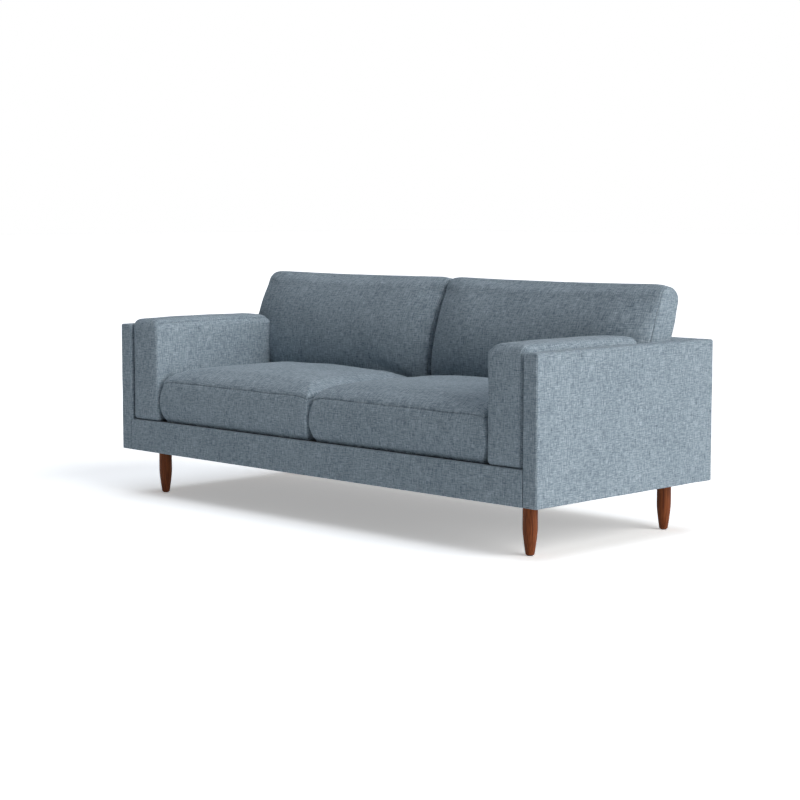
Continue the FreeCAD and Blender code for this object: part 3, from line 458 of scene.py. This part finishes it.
# Padded pieces
# Each has a firm core. Its cloth starts a little too small and is blown up on a coarse grid, with the seams
# and what it rests on held. The moves are carried to a fine grid, whose seams are then drawn in.
padCloth = {
    "coarseStep": 16 * mm,
    "fineStep": 10 * mm,
    "closeLines": (1.6 * mm, 4.2 * mm),
    "restHeight": 1 * mm,
    "frames": 16,
    "quality": 4,
    "mass": 0.3,
    "stiffness": 15.0,
    "bending": 0.5,
    "pressure": 3.0,
    "sink": 0.8 * mm,
    "slide": 2.5 * mm,
    "seamWidth": 2.0 * mm,
    "seamDepth": 1.5 * mm,
    "puckerWidth": 13 * mm,
    "puckerDepth": 1.3 * mm,
    "puckerSize": 45 * mm,
    "puckerShare": 0.45,
}


def readVertices(mesh, what):
    values = np.empty(len(mesh.vertices) * 3)
    mesh.vertices.foreach_get(what, values)
    return values.reshape(-1, 3)


def inflate(piece, held, cap):
    # Blender's cloth under inner pressure, without gravity; no point sinks into the core, goes out further
    # than the cap, or slides far along the surface
    look = padCloth
    start = readVertices(piece.data, "co")
    group = piece.vertex_groups.new(name="held")
    group.add(np.flatnonzero(held).tolist(), 1.0, "REPLACE")
    cloth = piece.modifiers.new("cloth", "CLOTH")
    settings = cloth.settings
    settings.quality = look["quality"]
    settings.mass = look["mass"]
    settings.tension_stiffness = settings.compression_stiffness = look["stiffness"]
    settings.shear_stiffness = look["stiffness"] / 3
    settings.bending_stiffness = look["bending"]
    settings.use_pressure = True
    settings.uniform_pressure_force = look["pressure"]
    settings.effector_weights.gravity = 0
    settings.vertex_group_mass = group.name
    cloth.collision_settings.use_collision = False
    cloth.point_cache.frame_start, cloth.point_cache.frame_end = 1, look["frames"]
    for step in range(1, look["frames"] + 1):
        bpy.context.scene.frame_set(step)
    shown = piece.evaluated_get(bpy.context.evaluated_depsgraph_get())
    moved = readVertices(shown.data, "co") - start
    bpy.context.scene.frame_set(1)
    normals = readVertices(piece.data, "normal")
    outward = (moved * normals).sum(axis=1, keepdims=True)
    along = moved - outward * normals
    length = np.maximum(np.linalg.norm(along, axis=1, keepdims=True), tiny)
    along *= np.minimum(1.0, look["slide"] / length)
    print("  blown out by", np.round(np.percentile(outward, (1, 25, 50, 75, 99)) * 1000, 1), "mm")
    return np.clip(outward, -look["sink"], cap) * normals + along


def seamGroove(away, depth):
    # a bell curve across the seam
    return depth * np.exp(-((away / padCloth["seamWidth"]) ** 2))


def makePad(name, boxLow, boxHigh, block, shape, own, seams=endSeams, rearRests=False):
    # block holds a block's two corners and its rounds, shape gives the form, own is the piece's dictionary,
    # seams tells how far a seam is; the seams, the foot and a rear that rests on something are held
    look = padCloth
    low, high = block[:2]
    fineLines = blockLines(*block, look["fineStep"], look["closeLines"])
    flat, quads, faces, number = blockSurface(fineLines)
    points = shape(flat)
    coarseLines = blockLines(*block, look["coarseStep"])
    coarseFlat, coarseQuads, _, coarseNumber = blockSurface(coarseLines)
    start = shape(coarseFlat)
    trial = makePiece(name + "Trial", start, coarseQuads)
    held = (seams(coarseFlat, low, high) < touch) | (start[:, 2] < low[2] + look["restHeight"])
    if rearRests:
        held |= coarseFlat[:, 1] > high[1] - touch
    moves = inflate(trial, held, own["cap"])
    mesh = trial.data
    bpy.data.objects.remove(trial)
    bpy.data.meshes.remove(mesh)
    points = points + carryMoves(moves, coarseLines, coarseNumber, fineLines, number)
    # a narrow groove at the stitches, and a wide soft one that comes and goes where the cloth puckers
    away = seams(flat, low, high)
    pucker = 1 + look["puckerShare"] * slowNoise(points, look["puckerSize"], len(points) % 97)
    pucker = look["puckerDepth"] * pucker * np.exp(-away / look["puckerWidth"])
    depth = seamGroove(away, look["seamDepth"]) + pucker
    points = points - vertexNormals(points, quads) * depth[:, None]
    points = np.clip(points, boxLow - own["pastLow"], boxHigh + own["pastHigh"])
    # the scaled distance to the seams places their painted shade; a smaller scale makes it wider
    piece = makePiece(name, points, quads, threadMap(flat, quads, faces), away * own["seamShadeScale"])
    smoothOnce(piece)
    print(name, len(quads), "quads", np.round(points.min(axis=0), 4), np.round(points.max(axis=0), 4))
    return piece


def boxOf(node):
    low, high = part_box(node)
    return np.array(low), np.array(high)


def easeIn(gap, run):
    # a quarter of an ellipse: 0 at a border, 1 from one run in
    return np.sqrt(1 - (1 - unit(gap / run)) ** 2)


# in each dictionary, pastLow and pastHigh are how far past its CAD box a piece may go
seatLook = {
    "shrink": 1.5 * mm,
    "outerGive": 11 * mm,
    "planRadius": 9 * mm,
    "footRadius": 19 * mm,
    "boxing": 153 * mm,
    "shoulder": 34 * mm,
    "shoulderRun": 75 * mm,
    "rearRun": 30 * mm,
    "crown": 23.5 * mm,
    "crownPower": 2.4,
    "rearCrownPower": 9.0,
    "cornerDip": 9 * mm,
    "cornerDraw": 14 * mm,
    "cornerPower": 1.5,
    "footDraw": 13 * mm,
    "cornerRun": 75 * mm,
    "frontBow": 10 * mm,
    "frontPower": 6,
    "sideDraw": 3 * mm,
    "sidePower": 16,
    "endShares": {"left": (1.0, 0.35), "right": (1.0, 1.0)},
    "tuck": 12 * mm,
    "tuckHeight": 22 * mm,
    "seamDraw": 4 * mm,
    "rearReach": 9 * mm,
    "rearLean": 33 * mm,
    "rearPower": 4,
    "wave": 1.0 * mm,
    "waveSize": 170 * mm,
    "waveSeed": 11,
    "waveShares": (0.3, 0.3, 1.0),
    "footSeamEase": 1 * mm,
    # scales the distance that places the painted seam shade
    "seamShadeScale": 1.0,
    "cap": 9 * mm,
    "pastLow": (-0.4 * mm, 6 * mm, 0),
    "pastHigh": (-0.4 * mm, 14 * mm, 15.5 * mm),
}


def boxingSeams(flat, low, high):
    # how far it is to the nearer of the seams round the top and the foot; the one at the foot shows less
    side = borderAway(flat, low, high, (0, 1))
    return np.minimum(high[2] - flat[:, 2], flat[:, 2] - low[2] + seatLook["footSeamEase"]) + side


def seatCushion(side):
    look = seatLook
    low, high = boxOf(f"seat_cover_{side}")
    foot, seamHeight = low[2], low[2] + look["boxing"]
    shrink, bow = look["shrink"], look["frontBow"]
    # the end beside the arm pad gives way to it
    give = np.array([-sides[side] * look["outerGive"], 0, 0])
    low, high = low + np.maximum(give, 0), high + np.minimum(give, 0)
    blockLow = np.array([low[0] + shrink, low[1] + bow, foot])
    blockHigh = np.array([high[0] - shrink, high[1] + look["rearReach"], seamHeight])
    middle, half = middleHalf(blockLow, blockHigh)
    plan, heel = look["planRadius"], look["footRadius"]
    block = (blockLow, blockHigh, ((plan, plan), (plan, plan), (heel, 0.0)), (4, 4, 4))

    def shape(flat):
        # the boxing is the rounded block's side, bowed out at half its height and tucked under at its foot;
        # the top starts at the seam with an elliptic shoulder, goes on in a slow crown, dips at its corners
        points = roundCorners(flat, blockLow, blockHigh, (plan, plan, heel), (plan, plan, 0))
        across, deep = ((points - middle) / half)[:, :2].T
        up = unit((points[:, 2] - foot) / (seamHeight - foot))
        onTop = flat[:, 2] > seamHeight - touch
        gapX, gapY = (1 - np.abs(across)) * half[0], (1 - np.abs(deep)) * half[1]
        gapRear = np.where(deep > 0, gapY * look["shoulderRun"] / look["rearRun"], gapY)
        deepPower = np.where(deep > 0, look["rearCrownPower"], look["crownPower"])
        crown = look["crown"] * (1 - np.abs(across) ** look["crownPower"]) * (1 - np.abs(deep) ** deepPower)
        shoulder = look["shoulder"] * easeIn(np.minimum(gapX, gapRear), look["shoulderRun"])
        points[:, 2] += onTop * (shoulder + crown)
        nearCorner = unit(1 - gapX / look["cornerRun"]) * unit(1 - gapY / look["cornerRun"])
        points[:, 2] -= look["cornerDip"] * nearCorner**2 * up**2
        front = unit(-deep) ** look["frontPower"]
        rear = unit(deep) ** look["rearPower"]
        swell = np.where(onTop, 0.0, np.sin(up * math.pi))
        cornerDraw = look["cornerDraw"] + look["footDraw"] * (1 - up)
        cornerDraw = cornerDraw * np.where(across < 0, *look["endShares"][side])
        draw = look["sideDraw"] * np.abs(across) ** look["sidePower"]
        draw += cornerDraw * nearCorner ** look["cornerPower"]
        points[:, 0] -= np.sign(across) * draw * (1 - swell)
        under = unit(1 - (points[:, 2] - foot) / look["tuckHeight"]) ** 2
        points[:, 1] += front * (look["tuck"] * under - bow * swell)
        points[:, 1] += front * look["seamDraw"] * (1 - np.abs(across) ** 3) * up
        points[:, 1] -= rear * look["rearLean"] * (1 - up)
        points += waveOf(flat, look, side)[:, None] * look["waveShares"]
        points[:, 2] = np.where(flat[:, 2] < foot + touch, foot, points[:, 2])
        return points

    piece = makePad(f"seatCushion{side.capitalize()}", low, high, block, shape, look, boxingSeams)
    nodes = [f"seat_cover_{side}", f"seat_foam_{side}"]
    dress(piece, f"seat_cushion_{side}", nodes, upholstery)


backLook = {
    "shrink": 2 * mm,
    "zipStand": 0.5 * mm,
    "lean": math.radians(13),
    "thickness": 111.2 * mm,
    "footCorner": 45 * mm,
    "heelCorner": 14 * mm,
    "rearCorner": 54 * mm,
    "browCorner": 34 * mm,
    "endEdge": 8 * mm,
    "frontTop": 855 * mm,
    "rearTop": 836 * mm,
    "edgeBow": 8 * mm,
    "bowHeight": 600 * mm,
    "bowHalf": 120 * mm,
    "bowBack": 13 * mm,
    "bellyHeight": 640 * mm,
    "bellyHalf": 200 * mm,
    "bellyPower": 0.8,
    "shoulder": 42 * mm,
    "shoulderRun": 185 * mm,
    "shoulderPower": 2.4,
    "rollSwell": 15 * mm,
    "rollTop": 6 * mm,
    "rollFoot": {"left": 9 * mm, "right": 25 * mm},
    "rollFrom": 670 * mm,
    "rollHeight": 160 * mm,
    "rollRun": 44 * mm,
    "crown": 5 * mm,
    "crownPower": 2.6,
    "topSag": 4 * mm,
    "endDrop": 11 * mm,
    "endDropRun": 60 * mm,
    "rearSwell": 8 * mm,
    "rearSwellFrom": 10 * mm,
    "rearSwellRun": 90 * mm,
    "endCrown": 1.5 * mm,
    "endPower": 20,
    "wave": 1.3 * mm,
    "waveSize": 210 * mm,
    "waveSeed": 21,
    "waveShares": (0.2, -1.0, 0.3),
    # scales the distance that places the painted seam shade
    "seamShadeScale": 0.35,
    "cap": 9 * mm,
    "pastLow": (-0.4 * mm, 18 * mm, 0),
    "pastHigh": (-0.4 * mm, 12 * mm, 8 * mm),
}


def backCushion(side):
    look = backLook
    low, high = boxOf(f"back_cushion_cover_{side}")
    backLow, backHigh = boxOf("back_cover")
    foot = low[2] + look["zipStand"]
    frontFoot = backLow[1] - look["thickness"]
    shrink, edge = look["shrink"], look["endEdge"]
    # the block stands upright, with y counted from its front face, and leans back at the end
    blockLow = np.array([low[0] + shrink, 0, foot])
    blockHigh = np.array([high[0] - shrink, look["thickness"], look["frontTop"]])
    middle, half = middleHalf(blockLow, blockHigh)
    toe, heel, brow, nape = (look[each + "Corner"] for each in ("foot", "heel", "brow", "rear"))
    block = (blockLow, blockHigh, ((edge, edge), (brow, nape), (toe, nape)), (3, 6, 6))

    def shape(flat):
        # the outline from the side has four different round corners; the front swells from the end seams in
        # an elliptic shoulder, the most at half its height, and the whole is sheared by the lean
        isHigh, isRear = flat[:, 2] > middle[2], flat[:, 1] > middle[1]
        corner = np.where(isHigh, np.where(isRear, nape, brow), np.where(isRear, heel, toe))
        points = roundPrism(flat, blockLow, blockHigh, corner, edge)
        across, deep, along = ((points - middle) / half).T
        height = points[:, 2].copy()
        gap = (1 - np.abs(across)) * half[0]
        belly = unit(1 - ((height - look["bellyHeight"]) / look["bellyHalf"]) ** 2)
        crown = look["crown"] * (1 - np.abs(across) ** look["crownPower"])
        towardFront, towardRear = unit(0.5 - deep), unit(0.5 + deep)
        towardTop = unit(along) ** 3
        drop = (look["frontTop"] - look["rearTop"]) * unit(0.5 + 0.5 * deep)
        bow = look["edgeBow"] * (1 - ((height - look["bowHeight"]) / look["bowHalf"]) ** 2)
        # the turn into the end seam is deeper low down on the right cushion, as in the photo
        rollUp = unit((height - look["rollFrom"]) / look["rollHeight"])
        rollFoot = look["rollFoot"][side]
        roll = (rollFoot + (look["rollTop"] - rollFoot) * rollUp) * (easeIn(gap, look["rollRun"]) - 1)
        inFrom = 1 - unit(gap / look["shoulderRun"])
        shoulder = look["shoulder"] * (1 - inFrom ** look["shoulderPower"])
        swell = (shoulder + crown + look["rollSwell"]) * belly ** look["bellyPower"] + roll
        points[:, 1] -= (np.maximum(bow, -look["bowBack"]) + swell) * towardFront
        overBack = unit((height - backHigh[2] - look["rearSwellFrom"]) / look["rearSwellRun"])
        points[:, 1] += look["rearSwell"] * np.sin(overBack * math.pi / 2) * towardRear
        sag = look["topSag"] * (1 - across**2)
        points[:, 2] += towardTop * (look["endDrop"] * (easeIn(gap, look["endDropRun"]) - 1) - sag - drop)
        bulge = look["endCrown"] * unit(1 - deep**2) * unit(1 - along**2)
        points[:, 0] += bulge * np.sign(across) * np.abs(across) ** look["endPower"]
        points[:, 1] += frontFoot + (points[:, 2] - foot) * math.tan(look["lean"])
        points += (waveOf(flat, look, side) * towardFront)[:, None] * look["waveShares"]
        points[:, 2] = np.maximum(points[:, 2], foot)
        return points

    piece = makePad(f"backCushion{side.capitalize()}", low, high, block, shape, look, rearRests=True)
    nodes = [f"back_cushion_cover_{side}", f"back_cushion_fill_{side}"]
    dress(piece, f"back_cushion_{side}", nodes, upholstery)


padLook = {
    "shrink": 1 * mm,
    "endEdge": 11 * mm,
    "corner": 30 * mm,
    "footCorner": 20 * mm,
    "rearReach": 9 * mm,
    "innerReach": 11 * mm,
    "innerRound": 34 * mm,
    "outerDraw": 7 * mm,
    "outerRun": 26 * mm,
    "topCrown": 4 * mm,
    "topFall": 6 * mm,
    "topPower": 6,
    "wave": 0.56 * mm,
    "waveSize": 160 * mm,
    "waveSeed": 31,
    # scales the distance that places the painted seam shade
    "seamShadeScale": 1.0,
    "cap": 2 * mm,
    "pastLow": (-0.3 * mm, 3 * mm, 0),
    "pastHigh": (-0.3 * mm, 11 * mm, 2 * mm),
}


def armPad(side):
    look = padLook
    low, high = boxOf(f"arm_pad_cover_{side}")
    shrink = look["shrink"]
    # the side towards the seat stands further in than the CAD's
    reach = np.array([-sides[side] * look["innerReach"], 0, 0])
    low, high = low + np.minimum(reach, 0), high + np.maximum(reach, 0)
    blockLow = low + [shrink, shrink, 0]
    blockHigh = high - [shrink, -look["rearReach"], look["topCrown"] + look["topFall"]]
    edge, top, foot = look["endEdge"], look["corner"], look["footCorner"]
    middle, half = middleHalf(blockLow, blockHigh)
    block = (blockLow, blockHigh, ((edge, edge), (top, top), (foot, top)), (4, 5, 5))

    def shape(flat):
        # a block rounded more at its top corners than at its foot, with a slight crown along the top
        corner = np.where(flat[:, 2] > middle[2], top, foot)
        points = roundPrism(flat, blockLow, blockHigh, corner, edge)
        across, deep, along = ((points - middle) / half).T
        up = unit(0.5 + 0.5 * along)
        points[:, 2] += look["topCrown"] * (1 - deep**2) * (1 - 0.5 * across**2) * up ** look["topPower"]
        # its inner top edge is rounder than the rest
        gaps = np.stack([(1 + sides[side] * across) * half[0], (1 - along) * half[2]], axis=1)
        spare = unit(1 - gaps / look["innerRound"])
        share = spare.max(axis=1) / np.maximum(np.hypot(*spare.T), tiny)
        pull = spare * look["innerRound"] * (1 - share)[:, None]
        points[:, 0] += sides[side] * pull[:, 0]
        points[:, 2] -= pull[:, 1]
        # its outer edge is drawn in along the front and the top, beside the panel
        outer = unit(1 - (1 - sides[side] * across) * half[0] / look["outerRun"])
        near = unit(1 - np.minimum(1 + deep, 1 - along) * half[1] / look["outerRun"])
        points[:, 0] -= sides[side] * look["outerDraw"] * outer * near
        points += waveOf(flat, look, side)[:, None] * np.stack([across, deep, up], axis=1)
        points[:, 2] = np.maximum(points[:, 2], low[2])
        return points

    piece = makePad(f"armPad{side.capitalize()}", low, high, block, shape, look)
    nodes = [f"arm_pad_cover_{side}", f"arm_pad_foam_{side}"]
    dress(piece, "sofa_frame", nodes, upholstery)


# Upholstered frame
# The cloth is drawn tight over the boards, with plain seams along the edges of the narrow strips.
panelLook = {
    "step": 20 * mm,
    "edgeRadius": 7 * mm,
    "topRadius": 8 * mm,
    "footRadius": 3 * mm,
    "seamDepth": 0.8 * mm,
    "wave": 0.35 * mm,
    "waveSize": 120 * mm,
    "waveSeed": 41,
}


def sidePanel(side):
    # a board with rounded edges under its cloth, which is joined round the edges of both broad faces
    look = panelLook
    low, high = boxOf(f"side_cover_{side}")
    edge, top, foot = look["edgeRadius"], look["topRadius"], look["footRadius"]
    rounds = ((edge, edge), (edge, edge), (foot, top))
    lines = blockLines(low, high, rounds, (4, 4, 4), look["step"], padCloth["closeLines"])
    flat, quads, faces, _ = blockSurface(lines)
    points = roundCorners(flat, low, high, (edge, edge, foot), (edge, edge, top))
    seamAway = endSeams(flat, low, high)
    stand = waveOf(points, look, side) - seamGroove(seamAway, look["seamDepth"])
    points = np.clip(points + vertexNormals(points, quads) * stand[:, None], low, high)
    # the distance to the seams also places their painted shade
    piece = makePiece(f"sidePanel{side.capitalize()}", points, quads, threadMap(flat, quads, faces), seamAway)
    smoothOnce(piece)
    dress(piece, "sofa_frame", [f"side_cover_{side}"], upholstery)


for makePart in (seatCushion, backCushion, armPad, sidePanel):
    for side in sides:
        makePart(side)

coverLook = {
    "step": 25 * mm,
    "edgeRadius": 9 * mm,
    "turnSteps": 8,
    "footRadius": 3 * mm,
    "footSteps": 4,
    "endRound": 2.5 * mm,
    "wall": 12 * mm,
    "padding": 20 * mm,
}


def ringQuads(rows, count):
    # the quads between rows of points, each row a closed ring
    here = np.arange((rows - 1) * count).reshape(-1, count)
    beside = np.roll(here, -1, axis=1)
    return np.stack([here, beside, beside + count, here + count], axis=-1).reshape(-1, 4)


def sweptCover(name, node, outline):
    # an outline in y and z carried along x between the side panels, drawn in at both ends by a quarter round
    # and closed by a flat face there
    low, high = boxOf(node)
    outline = np.array(outline)
    ends = coverLook["endRound"]
    lines = gridLines(low[0], high[0], coverLook["step"], (ends, ends))
    tangent = np.roll(outline, -1, axis=0) - np.roll(outline, 1, axis=0)
    tangent /= np.linalg.norm(tangent, axis=1, keepdims=True)
    inward = np.stack([-tangent[:, 1], tangent[:, 0]], axis=1)
    spare = 1 - unit(np.minimum(lines - low[0], high[0] - lines) / ends)
    drawn = ends * (1 - np.sqrt(1 - spare**2))
    count, rows = len(outline), len(lines)
    points = np.zeros((rows, count, 3))
    points[..., 0] = lines[:, None]
    points[..., 1:] = outline + inward * drawn[:, None, None]
    points = points.reshape(-1, 3)
    quads = ringQuads(rows, count)
    # the threads run along x and round the outline; the end faces are laid flat
    lengths = np.linalg.norm(np.diff(outline, axis=0, append=outline[:1]), axis=1)
    girth = np.concatenate([[0.0], np.cumsum(lengths)])
    up = np.stack([girth[:-1], girth[1:], girth[1:], girth[:-1]], axis=-1)
    up = np.broadcast_to(up, (rows - 1, count, 4)).reshape(-1, 4)
    threads = np.stack([points[quads][..., 0], up], axis=-1).reshape(-1, 2)
    caps = [list(range(count))[::-1], list(range((rows - 1) * count, rows * count))]
    threads = np.concatenate([threads, points[caps[0]][:, 1:], points[caps[1]][:, 1:]])
    piece = makePiece(name, points, quads.tolist() + caps, threads, np.ones(len(points)))
    for cap in piece.data.polygons[-2:]:
        cap.use_smooth = False
    dress(piece, "sofa_frame", [node], upholstery)


def arcPoints(centre, radius, start, finish, steps):
    # points of a circle from one angle to another, in degrees from +y towards +z
    turn = np.radians(np.linspace(start, finish, steps + 1))
    return [(centre[0] + radius * math.cos(angle), centre[1] + radius * math.sin(angle)) for angle in turn]


def frontRailCover():
    low, high = boxOf("front_rail_cover")
    railLow, railHigh = boxOf("front_rail")
    look = coverLook
    edge, foot = look["edgeRadius"], look["footRadius"]
    outline = arcPoints((low[1] + edge, high[2] - edge), edge, 90, 180, look["turnSteps"])
    outline += arcPoints((low[1] + foot, low[2] + foot), foot, 180, 270, look["footSteps"])
    outline += [(railLow[1], low[2]), (railLow[1], railHigh[2]), (high[1], railHigh[2]), (high[1], high[2])]
    sweptCover("frontRailCover", "front_rail_cover", outline)


def backCover():
    # from the rear top edge over the top and down the leaning face to the deck, and back inside the wall
    low, high = boxOf("back_cover")
    look = coverLook
    edge, foot, wall = look["edgeRadius"], look["footRadius"], look["wall"]
    deck, top = boxOf("deck_cloth")[1][2], high[2]
    lean = backLook["lean"]
    slope = math.tan(lean)
    lining = low[1] + look["padding"] / math.cos(lean)
    # the middle of the round between the leaning face and the flat top
    centre = (low[1] + (top - deck) * slope + edge * math.tan((math.pi / 2 - lean) / 2), top - edge)
    outline = arcPoints((high[1] - edge, top - edge), edge, 0, 90, look["turnSteps"])
    outline += arcPoints(centre, edge, 90, 180 - math.degrees(lean), look["turnSteps"])
    outline += [(low[1], deck), (lining, deck), (lining + (top - wall - deck) * slope, top - wall)]
    outline += [(high[1] - wall, top - wall), (high[1] - wall, low[2])]
    outline += arcPoints((high[1] - foot, low[2] + foot), foot, 270, 360, look["footSteps"])
    sweptCover("backCover", "back_cover", outline)


frontRailCover()
backCover()
print("frame upholstered")

# Plain cloths
# The deck cloth is drawn over the pad under the seat cushions, and the dust cover sags a little under the
# frame.
sheetLook = {
    "step": 20 * mm,
    "edge": 1 * mm,
    "deckThickness": 1.6 * mm,
    "deckDip": 1.1 * mm,
    "dipPitch": (190 * mm, 130 * mm),
    "edgePower": 8,
    "dustSag": 1.5 * mm,
}


def plainCloth(name, node, low, high, hang):
    # a thin slab moved up or down by the function hang of its place and its share of the way to each edge
    step, edge = sheetLook["step"], sheetLook["edge"]
    lines = [gridLines(low[axis], high[axis], step, (edge, edge)) for axis in (0, 1)]
    lines.append(np.array([low[2], high[2]]))
    flat, quads, faces, _ = blockSurface(lines)
    middle, half = middleHalf(low, high)
    points = flat.copy()
    points[:, 2] += hang(flat[:, :2], ((flat - middle) / half)[:, :2])
    piece = makePiece(name, points, quads, threadMap(flat, quads, faces), np.ones(len(flat)))
    dress(piece, "sofa_frame", [node], blackCloth)


def deckDips(place, share):
    # a product of two cosines, whose dips lie between the springs' rows and end before the edges
    waves = np.cos(place * 2 * math.pi / sheetLook["dipPitch"]).prod(axis=1)
    inside = 1 - np.abs(share).max(axis=1) ** sheetLook["edgePower"]
    return -sheetLook["deckDip"] * inside * (0.5 + 0.5 * waves)


def dustSag(place, share):
    # a long shallow sag, nothing at the edges
    away = 1 - share**2
    return -sheetLook["dustSag"] * away[:, 0] ** 2 * away[:, 1]


deckLow, deckHigh = boxOf("deck_cloth")
deckLow[2] = deckHigh[2] - sheetLook["deckThickness"]
plainCloth("deckCloth", "deck_cloth", deckLow, deckHigh, deckDips)
dustLow, dustHigh = boxOf("dust_cover")
plainCloth("dustCover", "dust_cover", dustLow, dustHigh, dustSag)
print("cloths laid")


# Legs
legLook = {
    "foot": 14.2 * mm,
    "belly": 24.8 * mm,
    "bellyHeight": 90 * mm,
    "taper": 1.4,
    "top": 24.2 * mm,
    "easing": 1.2 * mm,
    "easingStand": 0.2 * mm,
    "stepsDown": 40,
    "stepsUp": 24,
    "around": 56,
}


def turnedLeg(end, side):
    # a profile turned about the leg's own line: from its widest place it tapers to the foot in a power curve
    # that is nearly straight, and runs up to its top in a slight arc; the foot's rim is eased
    node = f"leg_{end}_{side}"
    low, high = boxOf(node)
    look = legLook
    belly, foot, widest, easing = (look[each] for each in ("belly", "foot", "bellyHeight", "easing"))
    down = np.linspace(1, 0, look["stepsDown"])
    up = np.linspace(0, 1, look["stepsUp"])[1:]
    heights = np.concatenate([widest - down * (widest - low[2]), widest + up * (high[2] - widest)])
    radii = belly - np.concatenate([(belly - foot) * down ** look["taper"], (belly - look["top"]) * up**2])
    radii[0] -= easing
    heights = np.insert(heights, 1, heights[0] + easing)
    radii = np.insert(radii, 1, foot + look["easingStand"])
    count, rows = look["around"], len(radii)
    turn = np.arange(count) * 2 * math.pi / count
    middle = (low + high)[:2] / 2
    points = np.zeros((rows, count, 3))
    points[..., :2] = middle + radii[:, None, None] * np.stack([np.cos(turn), np.sin(turn)], axis=-1)
    points[..., 2] = heights[:, None]
    points = np.concatenate([points.reshape(-1, 3), [[*middle, low[2]], [*middle, high[2]]]])
    # both ends are fans of triangles round a pole
    ring = np.arange(count)
    beside, pole, last = np.roll(ring, -1), rows * count, (rows - 1) * count
    quads = ringQuads(rows, count).tolist()
    quads += np.column_stack([np.full(count, pole), beside, ring]).tolist()
    quads += np.column_stack([np.full(count, pole + 1), last + ring, last + beside]).tolist()
    piece = makePiece(f"leg{end.capitalize()}{side.capitalize()}", points, quads)
    dress(piece, "sofa_frame", [node], walnut)


for end in ("front", "rear"):
    for side in sides:
        turnedLeg(end, side)
print("legs turned")

# Finishes of the parts that come straight from the frame
finishes = {
    ("leg_glides",): nylon,
    ("corner_blocks", "front_rail", "rear_rail", "spring_rails", "back_top_rail"): pineAcross,
    ("centre_rail", "side_rail_", "side_battens_"): pineDeep,
    ("side_board_", "arm_pad_board_", "back_board", "back_ribs"): plywood,
    ("seat_springs",): springWire,
    ("spring_clips", "leg_bolts", "leg_tee_nuts", "side_bolts", "side_tee_nuts", "arm_pad_bolts"): zinc,
    ("deck_pad",): felt,
    ("back_webbing",): webbing,
    ("seat_zip_", "back_cushion_zip_"): zipTape,
}
for node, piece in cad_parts.items():
    chosen = [finish for starts, finish in finishes.items() if node.startswith(starts)]
    if chosen:
        for slot in piece.material_slots:
            slot.material = chosen[0]
    elif not piece.hide_render:
        print("no finish for", node)
print("frame finished")

# Floor, light and camera
stageLook = {
    "floorSize": 60.0,
    "floorSeen": 1.45,
    "floorUnseen": 0.80,
    "floorGlow": 0.13,
    "roomStrength": 0.01,
    "floorLift": 0.36,
    "glowColour": (0.85, 1.0, 1.1, 1),
}
# each lamp is a soft sun: its strength, its colour, the way towards it and its spread in degrees
lamps = {
    "key": (2.45, (1.0, 1.0, 0.99), (0.927, 0.150, 0.342), 60),
    "ceiling": (1.05, (0.95, 1.0, 1.07), (0.0, 0.0, 1.0), 60),
}


def cameraOnly(tree, seen, unseen):
    # one strength for what the camera, mirrors and glass see, and another for the light on the object
    path = addNode(tree, "ShaderNodeLightPath")
    looked = mathNode(tree, "MAXIMUM", path.outputs["Is Camera Ray"], path.outputs["Is Glossy Ray"])
    looked = mathNode(tree, "MAXIMUM", looked, path.outputs["Is Transmission Ray"])
    return addNode(tree, "ShaderNodeMix", {"data_type": "FLOAT"}, i0=looked, i2=unseen, i3=seen).outputs[0]


def turnTo(turned, way, front):
    turned.rotation_mode = "QUATERNION"
    turned.rotation_quaternion = Vector(way).to_track_quat(front, "Y")


def makeFloor():
    # one flat square, pale to the camera and plain to the light
    look = stageLook
    size = look["floorSize"]
    mesh = bpy.data.meshes.new("floor")
    corners = [(size * x, size * y, 0) for x, y in ((-1, -1), (1, -1), (1, 1), (-1, 1))]
    mesh.from_pydata(corners, [], [(0, 1, 2, 3)])
    material, tree, shader = newMaterial("paleFloor")
    surface = {
        "Base Color": cameraOnly(tree, look["floorSeen"], look["floorUnseen"]),
        "Emission Color": mixedColour(tree, cameraOnly(tree, 1.0, 0.0), look["glowColour"], (1, 1, 1, 1)),
        "Emission Strength": cameraOnly(tree, look["floorLift"], look["floorGlow"]),
        "Roughness": 1.0,
        "Specular IOR Level": 0.0,
    }
    setInputs(tree, shader, surface)
    mesh.materials.append(material)
    addObject("floor", mesh)


def makeLight():
    world = bpy.data.worlds.new("softRoom")
    world.use_nodes = True
    bpy.context.scene.world = world
    tree = world.node_tree
    light = {"Color": (1, 1, 1, 1), "Strength": cameraOnly(tree, 1.0, stageLook["roomStrength"])}
    setInputs(tree, tree.nodes["Background"], light)
    for name, (strength, colour, way, spread) in lamps.items():
        lamp = bpy.data.lights.new(name + "Light", "SUN")
        lamp.energy = strength
        lamp.color = colour
        lamp.angle = math.radians(spread)
        turnTo(addObject(name + "Light", lamp), way, "Z")


# the azimuth counts from the front towards the right, and the lens is in millimetres on a 36 mm film
cameraLook = {"place": (4.8031, -4.7622, 1.1007), "azimuth": 45.194, "down": 5.868, "lens": 83.67}


def makeCamera():
    look = cameraLook
    camera = addObject("camera", bpy.data.cameras.new("camera"))
    around, down = math.radians(look["azimuth"]), math.radians(look["down"])
    way = (-math.sin(around) * math.cos(down), math.cos(around) * math.cos(down), -math.sin(down))
    camera.location = look["place"]
    turnTo(camera, way, "-Z")
    camera.data.lens = look["lens"]
    camera.data.clip_end = 200
    bpy.context.scene.camera = camera


makeFloor()
makeLight()
makeCamera()
bpy.context.scene.view_settings.view_transform = "Standard"
print("stage and camera set")
